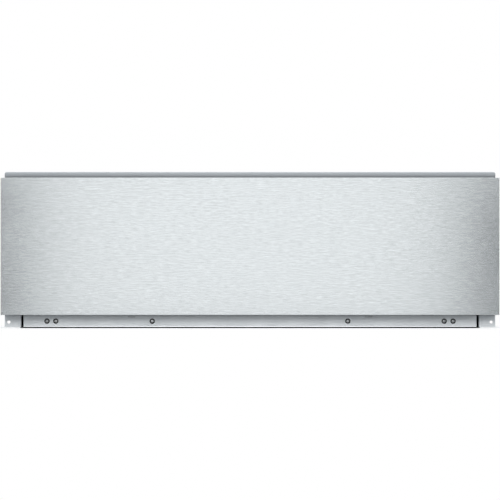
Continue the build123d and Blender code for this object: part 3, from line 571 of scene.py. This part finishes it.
def frontPan():
    use = frontSkin
    low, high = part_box("front_skin")
    middle, half = (low + high) / 2, (high - low) / 2
    fold, corner, least = use["fold"] * mm, use["corner"] * mm, use["least corner"] * mm
    arc = [math.pi / 2 * i / use["fold steps"] for i in range(use["fold steps"] + 1)]
    rows = [(fold * (1 - math.sin(a)), fold * (1 - math.cos(a)), 0.0) for a in arc]  # inset, depth, bend
    # rings with bend 1 carry the painted fold shade
    rows += [(0.0, fold + use["polish end"] * mm, 1.0), (0.0, high.y - low.y, 1.0)]
    build = bmesh.new()
    bend = build.verts.layers.float.new("bend")
    rings = []
    for inset, depth, bent in rows:
        radius = max(corner - inset, least)
        reachX, reachZ = half.x - inset - radius, half.z - inset - radius
        rings.append([build.verts.new((middle.x + x, low.y + depth, middle.z + z))
                      for x, z in roundedOutline(reachX, reachZ, radius, use["corner steps"])])
        for vertex in rings[-1]:
            vertex[bend] = bent
    skinned(build, rings, caps=(0,))
    if sum(face.normal.y * face.calc_area() for face in build.faces) > 0:
        bmesh.ops.reverse_faces(build, faces=build.faces)
    unrolled = build.loops.layers.uv.new("unrolled")
    for face in build.faces:
        n = face.normal
        turnedBack = abs(n.y) < use["front share"]
        for loop in face.loops:
            x, y, z = loop.vert.co - Vector((middle.x, low.y, middle.z))
            if turnedBack and abs(n.x) > abs(n.z):
                x += math.copysign(y, x)
            elif turnedBack:
                z += math.copysign(y, z)
            loop[unrolled].uv = (x, z)
    mesh = newMesh("front skin", build)
    mesh.shade_smooth()
    piece = newPiece("frontSkin", mesh)
    wall = piece.modifiers.new("sheet", "SOLIDIFY")
    wall.thickness = use["sheet"] * mm
    wall.offset = -1.0
    wall.use_even_offset = True
    piece.modifiers.new("flats", "WEIGHTED_NORMAL")
    return fitted(settled(piece), "brushed_front", bodyOf["front_skin"], "front_skin")


frontPan()
print("front skin folded")


# Shapes that are set out many times

def turnedPoint(radius, a, height):
    return (radius * mm * math.cos(a), radius * mm * math.sin(a), height * mm)


def turnedShape(name, profile, steps):
    # a solid of revolution about Z; the profile's (radius, height) run from pole to pole or in a ring
    build = bmesh.new()
    rings = []
    for radius, height in profile:
        around = [2 * math.pi * i / steps for i in range(steps if radius else 1)]
        rings.append([build.verts.new(turnedPoint(radius, a, height)) for a in around])
    for below, above in zip(rings, rings[1:]):
        for i in range(steps):
            corners = [(below, i), (below, i + 1), (above, i + 1), (above, i)]
            points = dict.fromkeys(ring[k % len(ring)] for ring, k in corners)  # at a pole two are one
            build.faces.new(list(points))
    bmesh.ops.recalc_face_normals(build, faces=build.faces)
    mesh = newMesh(name, build)
    smoothed(mesh)
    return newPiece(name, mesh)


thread = {
    "depth": 0.35,
    "pitch": 0.8,
    "tip": (0.4, 0.5),  # how much narrower its end is, and the length of that taper
    "first": 0.7,  # from the tip to the first crest's foot
    "plain": 0.9,  # length under the head that starts no crest
    "end": 0.1,  # the outline stops this far under the head
}


def threadProfile(radius, length):
    # the shank's half outline, tip first, with ring-like thread crests
    core = radius - thread["depth"]
    narrower, taper = thread["tip"]
    points = [(0, -length), (core - narrower, -length), (core, -length + taper)]
    height = -length + thread["first"]
    while height < -thread["plain"]:
        points += [(core, height), (radius, height + thread["pitch"] / 2)]
        height += thread["pitch"]
    return points + [(core, height), (core, -thread["end"])]


def cutWith(piece, cutter):
    cut = piece.modifiers.new("cut", "BOOLEAN")
    cut.operation = "DIFFERENCE"
    cut.solver = "EXACT"
    cut.object = cutter
    settled(piece)
    bpy.data.objects.remove(cutter)


crossRecess = {
    "over": 0.1,  # the cutter stands this far above the head
    "bottom": (0.45, 0.78),  # shares of its length and width that the recess keeps at its bottom
    "second deeper": 0.03,  # so that the bottoms of the two arm pairs don't fall together
}


def taperedBar(length, width, depth, top, turn):
    # one arm pair of a cross recess, narrower at its bottom
    build = bmesh.new()
    c, s = math.cos(turn), math.sin(turn)
    rings = []
    for shares, height in (((1.0, 1.0), top + crossRecess["over"]), (crossRecess["bottom"], top - depth)):
        x, y = length / 2 * shares[0], width / 2 * shares[1]
        rings.append([build.verts.new(((u * c - v * s) * mm, (u * s + v * c) * mm, height * mm))
                      for u, v in ((-x, -y), (x, -y), (x, y), (-x, y))])
    skinned(build, rings)
    return newPiece("arm", newMesh("arm", build))


def cutCross(piece, length, width, depth, top):
    for turn, deeper in ((0.0, 0.0), (math.pi / 2, crossRecess["second deeper"])):
        cutWith(piece, taperedBar(length, width, depth + deeper, top, turn))


panScrew = {
    "head": 2.4,  # radius
    "height": 2.2,
    "rim": 0.38,  # share of the height that is upright
    "dome": (0.42, 0.60),  # shares of the radius and of the height that the dome takes
    "crown": (0.3, 0.995),  # shares where its flat top begins
    "shank": 2.0,
    "length": 7.0,
    "steps": 32,
    "dome steps": 6,
    "recess": (2.6, 0.6, 1.1),  # length, width and depth
}


def panScrewShape():
    use = panScrew
    head, height, (inward, upward) = use["head"], use["height"], use["dome"]
    arc = [math.pi / 2 * i / use["dome steps"] for i in range(1, use["dome steps"] + 1)]
    profile = threadProfile(use["shank"], use["length"])
    profile += [(head, 0.0), (head, height * use["rim"])]
    profile += [(head - head * inward * (1 - math.cos(a)), height * (use["rim"] + upward * math.sin(a)))
                for a in arc]
    profile += [(head * use["crown"][0], height * use["crown"][1]), (0, height)]
    piece = turnedShape("panScrewShape", profile, use["steps"])
    cutCross(piece, *use["recess"], height)
    smoothed(piece.data)
    return piece


hexScrew = {
    "flats": 7.0,  # across them
    "height": 2.5,
    "chamfer": 22.0,
    "top": 0.95,  # share of the flats' half width that the flat top reaches
    "foot": (0.97, 0.12),  # share that the foot reaches, and the height of its slope
    "shank": 2.0,
    "plug": 0.4,  # the shank ends this far inside the head
    "steps": 48,
    "shank steps": 20,
    "sharper than": 25.0,
    "recess": (4.2, 0.95, 1.4),
}


def hexScrewShape(length):
    use = hexScrew
    inner, height, plug = use["flats"] / 2, use["height"], use["plug"]
    profile = threadProfile(use["shank"], length) + [(use["shank"] - thread["depth"], plug), (0, plug)]
    shank = turnedShape("shank", profile, use["shank steps"])
    build = bmesh.new()
    build.from_mesh(shank.data)
    bpy.data.objects.remove(shank)
    top, foot, rise = inner * use["top"], inner * use["foot"][0], use["foot"][1]
    slope = math.tan(math.radians(use["chamfer"]))
    rings = [[], [], [], []]
    for i in range(use["steps"]):
        a = 2 * math.pi * i / use["steps"]
        flat = inner / math.cos((a + math.pi / 6) % (math.pi / 3) - math.pi / 6)
        spots = ((foot, 0.0), (flat, rise), (flat, height - (flat - top) * slope), (top, height))
        for ring, (radius, z) in zip(rings, spots):
            ring.append(build.verts.new(turnedPoint(radius, a, z)))
    skinned(build, rings)
    piece = newPiece("hexScrewShape", newMesh("hex screw", build))
    cutCross(piece, *use["recess"], height)
    smoothed(piece.data, use["sharper than"])
    return piece


def newShapeTree(name, sockets):
    tree = bpy.data.node_groups.new(name, "GeometryNodeTree")
    tree.interface.new_socket("Geometry", in_out="INPUT", socket_type="NodeSocketGeometry")
    for label, kind in sockets.items():
        tree.interface.new_socket(label, in_out="INPUT", socket_type="NodeSocket" + kind)
    tree.interface.new_socket("Geometry", in_out="OUTPUT", socket_type="NodeSocketGeometry")
    sheet = Sheet(tree)
    given = sheet.node("NodeGroupInput").socket.node
    return tree, sheet, {socket.name: Wire(sheet, socket) for socket in given.outputs if socket.name}


def closeTree(sheet, shape, finish):
    real = sheet.node("GeometryNodeRealizeInstances", None, {0: shape})
    done = sheet.node("GeometryNodeSetMaterial", None, {"Geometry": real, "Material": finish})
    sheet.node("NodeGroupOutput", None, {0: done})


def runTree(name, tree, values, mesh=None):
    # runs a tree on a mesh of places and keeps the result as a plain piece
    piece = newPiece(name, mesh or bpy.data.meshes.new(name))
    grow = piece.modifiers.new("grow", "NODES")
    grow.node_group = tree
    for socket in tree.interface.items_tree:
        if socket.in_out == "INPUT" and socket.name in values:
            grow[socket.identifier] = values[socket.name]
    return settled(piece)


def setOutTree():
    # a shape at every place, its Z along the place's axis, each turned at random about it
    tree, sheet, given = newShapeTree("set out", {
        "Shape": "Object", "Size": "Float", "Most turn": "Float", "Seed": "Int", "Finish": "Material"})
    axis = sheet.node("GeometryNodeInputNamedAttribute", {"data_type": "FLOAT_VECTOR"}, {"Name": "axis"})
    facing = sheet.node("FunctionNodeAlignRotationToVector", {"axis": "Z"}, {"Vector": axis})
    shape = sheet.node("GeometryNodeObjectInfo", None, {"Object": given["Shape"]}, "Geometry")
    stood = sheet.node("GeometryNodeInstanceOnPoints", None, {
        "Points": given["Geometry"], "Instance": shape, "Rotation": facing, "Scale": given["Size"]})
    turn = sheet.node("FunctionNodeRandomValue", {"data_type": "FLOAT"},
                      {2: 0.0, 3: given["Most turn"], "Seed": given["Seed"]}, 1)
    turned = sheet.node("GeometryNodeRotateInstances", None,
                        {"Instances": stood, "Rotation": sheet.vector(z=turn)})
    closeTree(sheet, turned, given["Finish"])
    return tree


def placesMesh(places):
    # points, each with the axis that its shape stands along
    mesh = bpy.data.meshes.new("places")
    mesh.from_pydata([tuple(v * mm for v in spot) for spot, axis in places], [], [])
    along = mesh.attributes.new("axis", "FLOAT_VECTOR", "POINT")
    for i, (spot, axis) in enumerate(places):
        along.data[i].vector = axis
    return mesh


setOut = setOutTree()


def setOutPiece(name, shape, places, slot, body, nodes=(), seed=1, turn=2 * math.pi):
    piece = runTree(name, setOut, {"Shape": shape, "Size": 1.0, "Most turn": turn, "Seed": seed,
                                   "Finish": finishes[slot]}, placesMesh(places))
    return fitted(piece, slot, body, *nodes)


# Screws

skirtScrews = {"reach": (148.2, 294.4, 307.8), "height": 10.5, "seat": -260.0}
# black washers, whose dark stands in for the shade inside the skirt's holes
skirtWasher = {
    "profile": [(2.05, 0.0), (4.0, 0.0), (4.0, 0.35), (3.85, 0.5), (2.2, 0.5), (2.05, 0.35), (2.05, 0.0)],
    "steps": 32,
}
frontScrews = {"reach": 250.0, "heights": (75.0, 160.0), "seat": -266.5, "length": 9.0}
railScrews = {"place": -217.5, "height": 92.0, "casing seat": 348.5, "drawer seat": 335.9, "length": 2.1}

skirtPlaces = [((side * x, skirtScrews["seat"], skirtScrews["height"]), (0, -1, 0))
               for side in sides for x in skirtScrews["reach"]]
frontPlaces = [((side * frontScrews["reach"], frontScrews["seat"], z), (0, 1, 0))
               for side in sides for z in frontScrews["heights"]]
panShape = panScrewShape()
washerShape = turnedShape("washerShape", skirtWasher["profile"], skirtWasher["steps"])
frontShape = hexScrewShape(frontScrews["length"])
railShape = hexScrewShape(railScrews["length"])
setOutPiece("skirtScrews", panShape, skirtPlaces, "screw_steel", "casing", ["skirt_screws"], seed=4)
# their black plastic stands in for the shade inside the holes
setOutPiece("skirtWashers", washerShape, skirtPlaces, "plunger_plastic", "casing", turn=0.0)
setOutPiece("frontFixingScrews", frontShape, frontPlaces, "screw_steel", "drawer",
            ["front_fixing_screws"], seed=7)
for body in ("casing", "drawer"):
    seat = railScrews[f"{body} seat"]
    railPlaces = [((side * seat, railScrews["place"], railScrews["height"]), (side, 0, 0))
                  for side in sides]
    setOutPiece(f"{body}RailScrews", railShape, railPlaces, "screw_steel", body,
                [f"{body}_rail_screws"], seed=11)
for shape in (panShape, washerShape, frontShape, railShape):
    bpy.data.objects.remove(shape)
print("screws set out")


# Spot welds where the sheets of the casing and of the drawer lie on each other

spotWeld = {  # the shallow ring that a welder's tip leaves
    "profile": [(0, 0.03), (1.3, 0.03), (1.8, 0.12), (2.2, 0.12), (2.7, 0.02), (2.8, -0.1), (0, -0.1)],
    "steps": 16,
}
casingWelds = {  # on the outer faces of the walls and the roof: rows, and where each starts and ends
    "wall": 348.5, "low row": 5.6, "high row": 216.6, "along": (-225.0, 262.0), "upright": (28.0, 196.0),
    "roof": 223.0, "front row": -255.6, "back row": 282.0, "across": (-318.0, 318.0), "pitch": 62.0,
}
drawerWelds = {  # on the flanges of the front and back walls; the foot rows stand 1 mm above theirs
    "foot": 33.2, "front row": -258.0, "back row": 243.0, "across": (-300.0, 300.0),
    "flange": 332.8, "upright": (52.0, 172.0), "pitch": 58.0,
}


def evenly(first, last, pitch):
    count = max(1, round((last - first) / pitch))
    return [first + (last - first) * i / count for i in range(count + 1)]


def casingWeldPlaces():
    use = casingWelds
    places = []
    for side in sides:
        x, out = side * use["wall"], (side, 0, 0)
        for z in (use["low row"], use["high row"]):
            places += [((x, y, z), out) for y in evenly(*use["along"], use["pitch"])]
        for y in (use["front row"], use["back row"]):
            places += [((x, y, z), out) for z in evenly(*use["upright"], use["pitch"])]
    for y in (use["front row"], use["back row"]):
        places += [((x, y, use["roof"]), (0, 0, 1)) for x in evenly(*use["across"], use["pitch"])]
    return places


def drawerWeldPlaces():
    use = drawerWelds
    places = []
    for y in (use["front row"], use["back row"]):
        places += [((x, y, use["foot"]), (0, 0, 1)) for x in evenly(*use["across"], use["pitch"])]
        for side in sides:
            x, inward = side * use["flange"], (-side, 0, 0)
            places += [((x, y, z), inward) for z in evenly(*use["upright"], use["pitch"])]
    return places


weld = turnedShape("weldShape", spotWeld["profile"], spotWeld["steps"])
casingPlaces, drawerPlaces = casingWeldPlaces(), drawerWeldPlaces()
setOutPiece("casingSpotWelds", weld, casingPlaces, "zinc_sheet", "casing")
setOutPiece("drawerSpotWelds", weld, drawerPlaces, "drawer_sheet", "drawer")
bpy.data.objects.remove(weld)
print("spot welds set out:", len(casingPlaces) + len(drawerPlaces))


# Rubber pads behind the front panel

framePads = {
    "size": 12.0,
    "corner": 2.4,
    "corner steps": 6,
    "thickness": 1.0,
    "rim": ((0.0, 0.45), (0.12, 0.8), (0.4, 1.0)),  # inset, and share of the thickness
    "sunk": 0.05,
    "inset": 358.9,
    "heights": (45.5, 206.7),
    "face": -263.5,
}


def padShape():
    # a soft square pad with rounded corners and a rounded rim
    use = framePads
    reach = use["size"] / 2 - use["corner"]
    rows = [(0.0, -use["sunk"])]
    rows += [(inset, share * use["thickness"]) for inset, share in use["rim"]]
    build = bmesh.new()
    rings = []
    for inset, z in rows:
        outline = roundedOutline(reach, reach, use["corner"] - inset, use["corner steps"])
        rings.append([build.verts.new((x * mm, y * mm, z * mm)) for x, y in outline])
    skinned(build, rings)
    mesh = newMesh("pad", build)
    smoothed(mesh)
    return newPiece("padShape", mesh)


pad = padShape()
padPlaces = [((side * framePads["inset"], framePads["face"], z), (0, -1, 0))
             for side in sides for z in framePads["heights"]]
setOutPiece("frameBumpers", pad, padPlaces, "buffer_rubber", "casing", ["frame_bumpers"], turn=0.0)
bpy.data.objects.remove(pad)
print("pads set out")


# Bearing balls

ballRows = {
    "radius": 1.75,
    "first": -72.5,
    "pitch": 50.0,
    "count": 4,
    "middle": 92.0,  # height between the two rows
    "outer": (342.15, 19.95),  # distance from the drawer's middle, and rows above and below "middle"
    "inner": (338.655, 16.29),
    "segments": 20,
    "rings": 12,
}


def ballTree():
    tree, sheet, given = newShapeTree("ball rows", {"Radius": "Float", "Segments": "Int", "Rings": "Int",
                                                    "Finish": "Material"})
    ball = sheet.node("GeometryNodeMeshUVSphere", None,
                      {name: given[name] for name in ("Segments", "Rings", "Radius")})
    smooth = sheet.node("GeometryNodeSetShadeSmooth", None, {"Geometry": ball})
    rows = sheet.node("GeometryNodeInstanceOnPoints", None,
                      {"Points": given["Geometry"], "Instance": smooth})
    closeTree(sheet, rows, given["Finish"])
    return tree


def ballPieces():
    use = ballRows
    balls = ballTree()
    values = {"Radius": use["radius"] * mm, "Segments": use["segments"], "Rings": use["rings"],
              "Finish": finishes["bearing_steel"]}
    for name, side in zip(("left", "right"), sides):
        for row in ("outer", "inner"):
            reach, rise = use[row]
            along = [use["first"] + step * use["pitch"] for step in range(use["count"])]
            places = [((side * reach, y, use["middle"] + up * rise), (0, 0, 1))
                      for y in along for up in (-1, 1)]
            piece = runTree(f"{name}{row.capitalize()}Balls", balls, values, placesMesh(places))
            fitted(piece, "bearing_steel", f"{name}_{row}_bearing", f"{name}_{row}_balls")


ballPieces()
print("balls set out")


# Liner mat: a thin sheet with fine ribs along the depth of the drawer

linerMat = {
    "corner": 6.0,
    "corner steps": 8,
    "edge": 0.4,  # the chamfer round its upper face
    "sheet": 1.35,
    "rib": 0.65,
    "rib width": 1.7,
    "rib steps": 12,
    "pitch": 4.2,
    "margin": 5.0,
}


def linerTree():
    lengths = ("Rib length", "Rib width", "Rib height", "Pitch", "Base")
    tree, sheet, given = newShapeTree("liner ribs", {
        **{name: "Float" for name in lengths}, "Count": "Int", "Rib steps": "Int", "Finish": "Material"})
    width = given["Pitch"] * (given["Count"] - 1)
    start = sheet.vector(width * -0.5, given["Rib length"] * -0.5, given["Base"])
    rows = sheet.node("GeometryNodeMeshLine", {"mode": "OFFSET"}, {
        "Count": given["Count"], "Start Location": start, "Offset": sheet.vector(given["Pitch"])})
    spine = sheet.node("GeometryNodeCurvePrimitiveLine", None,
                       {"End": sheet.vector(y=given["Rib length"])})
    circle = sheet.node("GeometryNodeCurvePrimitiveCircle", None,
                        {"Resolution": given["Rib steps"], "Radius": 1.0}, "Curve")
    oval = sheet.node("GeometryNodeTransform", None, {
        "Geometry": circle, "Scale": sheet.vector(given["Rib width"] * 0.5, given["Rib height"], 1.0)})
    rib = sheet.node("GeometryNodeCurveToMesh", None,
                     {"Curve": spine, "Profile Curve": oval, "Fill Caps": True})
    smooth = sheet.node("GeometryNodeSetShadeSmooth", None, {"Geometry": rib})
    ribs = sheet.node("GeometryNodeInstanceOnPoints", None, {"Points": rows, "Instance": smooth})
    join = sheet.node("GeometryNodeJoinGeometry", None, {"Geometry": given["Geometry"]})
    sheet.tree.links.new(ribs.socket, join.socket.node.inputs["Geometry"])
    closeTree(sheet, join, given["Finish"])
    return tree


def linerMatPiece():
    use = linerMat
    low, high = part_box("drawer_mat")
    middle, half = (low + high) / 2, (high - low) / 2
    corner, edge, margin, pitch = [use[name] * mm for name in ("corner", "edge", "margin", "pitch")]
    top = low.z + use["sheet"] * mm
    build = bmesh.new()
    rings = []
    for inset, z in ((0.0, low.z), (0.0, top - edge), (edge, top)):
        outline = roundedOutline(half.x - corner, half.y - corner, corner - inset, use["corner steps"])
        rings.append([build.verts.new((x, y, z)) for x, y in outline])
    skinned(build, rings)
    mesh = newMesh("liner", build)
    smoothed(mesh)
    piece = runTree("linerMat", linerTree(), {
        "Rib length": 2 * half.y - 2 * margin, "Rib width": use["rib width"] * mm,
        "Rib height": use["rib"] * mm, "Rib steps": use["rib steps"], "Base": top,
        "Pitch": pitch, "Count": int((2 * half.x - 2 * margin) / pitch),
        "Finish": finishes["mat_rubber"]}, mesh)
    piece.data.transform(Matrix.Translation((middle.x, middle.y, 0)))
    return fitted(piece, "mat_rubber", "drawer", "drawer_mat")


linerMatPiece()
print("liner ribbed")


# Latch spring

latchSpring = {
    "radius": 4.85, "wire": 0.4, "turns": 9.0,  # the wire's size is its radius
    "height": 120.0, "start": 264.8, "end": 280.5, "press": 3.0,
    "steps": 28, "wire steps": 10,  # round each turn and round the wire
}


def springTree():
    sizes = ("Radius", "Wire", "Turns", "Length")
    tree, sheet, given = newShapeTree("spring", {
        **{name: "Float" for name in sizes}, "Steps": "Int", "Wire steps": "Int", "Finish": "Material"})
    coil = sheet.node("GeometryNodeCurveSpiral", None, {
        "Resolution": given["Steps"], "Rotations": given["Turns"], "Start Radius": given["Radius"],
        "End Radius": given["Radius"], "Height": given["Length"] - given["Wire"] * 2})
    lifted = sheet.node("GeometryNodeTransform", None, {
        "Geometry": coil, "Translation": sheet.vector(z=given["Wire"])})
    wire = sheet.node("GeometryNodeCurvePrimitiveCircle", None,
                      {"Resolution": given["Wire steps"], "Radius": given["Wire"]}, "Curve")
    made = sheet.node("GeometryNodeCurveToMesh", None,
                      {"Curve": lifted, "Profile Curve": wire, "Fill Caps": True})
    closeTree(sheet, sheet.node("GeometryNodeSetShadeSmooth", None, {"Geometry": made}), given["Finish"])
    return tree


def latchSpringPiece():
    use = latchSpring
    length = use["end"] - use["start"]
    piece = runTree("latchSpring", springTree(), {
        "Radius": use["radius"] * mm, "Wire": use["wire"] * mm, "Length": length * mm,
        "Turns": use["turns"], "Steps": use["steps"], "Wire steps": use["wire steps"],
        "Finish": finishes["spring_steel"]})
    for vertex in piece.data.vertices:  # from upright to lying along the drawer's depth
        x, y, z = vertex.co
        vertex.co = (x, use["start"] * mm + z, use["height"] * mm - y)
    fitted(piece, "spring_steel", "casing", "latch_spring")
    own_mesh(piece)


latchSpringPiece()
print("latch spring wound")


# Floor, lights, world and camera; their sizes are in metres

studioFloor = {
    "radius": 2.6,
    "sides": 96,
    "height": -0.0002,  # a little under the casing, so that the two don't fall together
    "colours": ((0.60, 0.60, 0.60), (0.64, 0.64, 0.64)),
    "mottle": 9.0,  # mm
    "roughness": 0.7,
    "specular": 0.2,
    "glow": 0.5,  # only the camera sees it
    "footprint": (0.38, 0.29),  # half sizes of the ground under the object, where nothing fades
    "fade": (0.0, 0.32),  # from there on out
}


def paleFloor():
    use = studioFloor
    radius = use["radius"]
    around = [2 * math.pi * i / use["sides"] for i in range(use["sides"])]
    build = bmesh.new()
    build.faces.new([build.verts.new((radius * math.cos(a), radius * math.sin(a), use["height"]))
                     for a in around])
    mesh = newMesh("floor", build)
    floor = newPiece("floor", mesh)
    material, sheet = newFinish("pale floor")
    place = sheet.place()
    past = [sheet.maths("MAXIMUM", sheet.maths("ABSOLUTE", axis) - edge)
            for axis, edge in zip(sheet.axes(place), use["footprint"])]
    reach = sheet.maths("SQRT", past[0] * past[0] + past[1] * past[1])
    mottle = sheet.onto(sheet.noise(place, use["mottle"]), 0.0, 1.0, *wideNoise)
    paint = sheet.node("ShaderNodeBsdfPrincipled", None, {
        "Base Color": sheet.colours(mottle, *use["colours"]),
        "Roughness": use["roughness"], "Specular IOR Level": use["specular"]})
    glow = sheet.node("ShaderNodeEmission", None, {
        0: sheet.colours(sheet.cameraSees(), (0.0, 0.0, 0.0), (use["glow"],) * 3)})
    ground = sheet.node("ShaderNodeAddShader", None, {0: paint, 1: glow})
    clear = sheet.node("ShaderNodeBsdfTransparent")
    faded = sheet.node("ShaderNodeMixShader", None, {
        0: sheet.onto(reach, 0.0, 1.0, *use["fade"]), 1: ground, 2: clear})
    sheet.node("ShaderNodeOutputMaterial", None, {"Surface": faded})
    mesh.materials.append(material)


studioLights = {  # place, aim, size and radiance of each
    "front": ((-0.009, -1.55, 0.03), (-0.009, 0.0, 0.03), (0.71, 0.74), 0.86),
    "left front": ((-1.5, -1.6, 0.5), (0.0, -0.2, 0.1), (0.9, 1.2), 1.6),
    "right front": ((1.5, -1.6, 0.5), (0.0, -0.2, 0.1), (0.9, 1.2), 1.6),
    "high": ((-0.009, -2.1, 1.12), (-0.009, 0.0, 0.1), (1.3, 1.2), 1.8),
    "top": ((0.0, -0.3, 2.2), (0.0, 0.0, 0.0), (3.0, 3.0), 0.6),
    "left": ((-2.4, 0.3, 1.2), (0.0, 0.0, 0.1), (1.6, 1.6), 0.7),
    "right": ((2.4, 0.3, 1.2), (0.0, 0.0, 0.1), (1.6, 1.6), 0.7),
    "back": ((0.0, 2.4, 1.3), (0.0, 0.0, 0.1), (2.0, 1.4), 0.6),
}


def softLight(name, place, aim, size, radiance):
    data = bpy.data.lights.new(name, "AREA")
    data.shape = "RECTANGLE"
    data.size, data.size_y = size
    data.energy = radiance * math.pi * size[0] * size[1]
    light = bpy.data.objects.new(name + "Light", data)
    light.location = place
    light.rotation_euler = (Vector(aim) - Vector(place)).to_track_quat("-Z", "Y").to_euler()
    light.visible_camera = False
    bpy.context.scene.collection.objects.link(light)


studioWorld = {
    "colour": (0.91, 0.96, 1.0),
    "strength": (0.41, 0.14),  # all round, and in the dim patch behind the camera
    "dim patch": (0.88, 0.45),  # how far back a direction points where it is dimmest and where that ends
    "dim above": (-0.14, -0.04),  # how far up it points where the dimming starts and where it is full
    "rise": (0.80, 1.32),  # factor of the strength at the horizon and at the end of the rise
    "rise end": 0.8,  # how far up a direction points there
}


def paleWorld():
    use = studioWorld
    world = bpy.data.worlds.new("studio")
    bpy.context.scene.world = world
    world.use_nodes = True
    world.node_tree.nodes.clear()
    sheet = Sheet(world.node_tree)
    seen = sheet.cameraSees()
    away, up = sheet.axes(sheet.node("ShaderNodeTexCoord", None, None, "Generated"))[1:]
    back = sheet.onto(away * -1.0, 1.0, 0.0, *use["dim patch"])
    dim = back * sheet.onto(up, 0.0, 1.0, *use["dim above"])
    pale = sheet.onto(dim, *use["strength"]) * sheet.onto(up, *use["rise"], 0.0, use["rise end"])
    light = sheet.node("ShaderNodeBackground", None, {
        "Color": sheet.colours(seen, use["colour"], (1.0, 1.0, 1.0)),  # plain white to the camera
        "Strength": sheet.onto(seen, pale, 1.0)})
    sheet.node("ShaderNodeOutputWorld", None, {"Surface": light})


camera = {
    "distance": 25.0,
    "height": 0.11835,
    "clip": (1.0, 60.0),
    "lens": 1188.6,  # mm
    "sensor": 36.0,  # mm
}


def photoCamera():
    data = bpy.data.cameras.new("camera")
    data.lens = camera["lens"]
    data.sensor_width = camera["sensor"]
    data.clip_start, data.clip_end = camera["clip"]
    view = bpy.data.objects.new("camera", data)
    view.location = (0.0, cadLow.y - camera["distance"], camera["height"])
    view.rotation_euler = (math.pi / 2, 0.0, 0.0)
    bpy.context.scene.collection.objects.link(view)
    bpy.context.scene.camera = view


paleFloor()
for name, light in studioLights.items():
    softLight(name, *light)
paleWorld()
photoCamera()
bpy.context.scene.view_settings.view_transform = "Standard"
print("studio set")
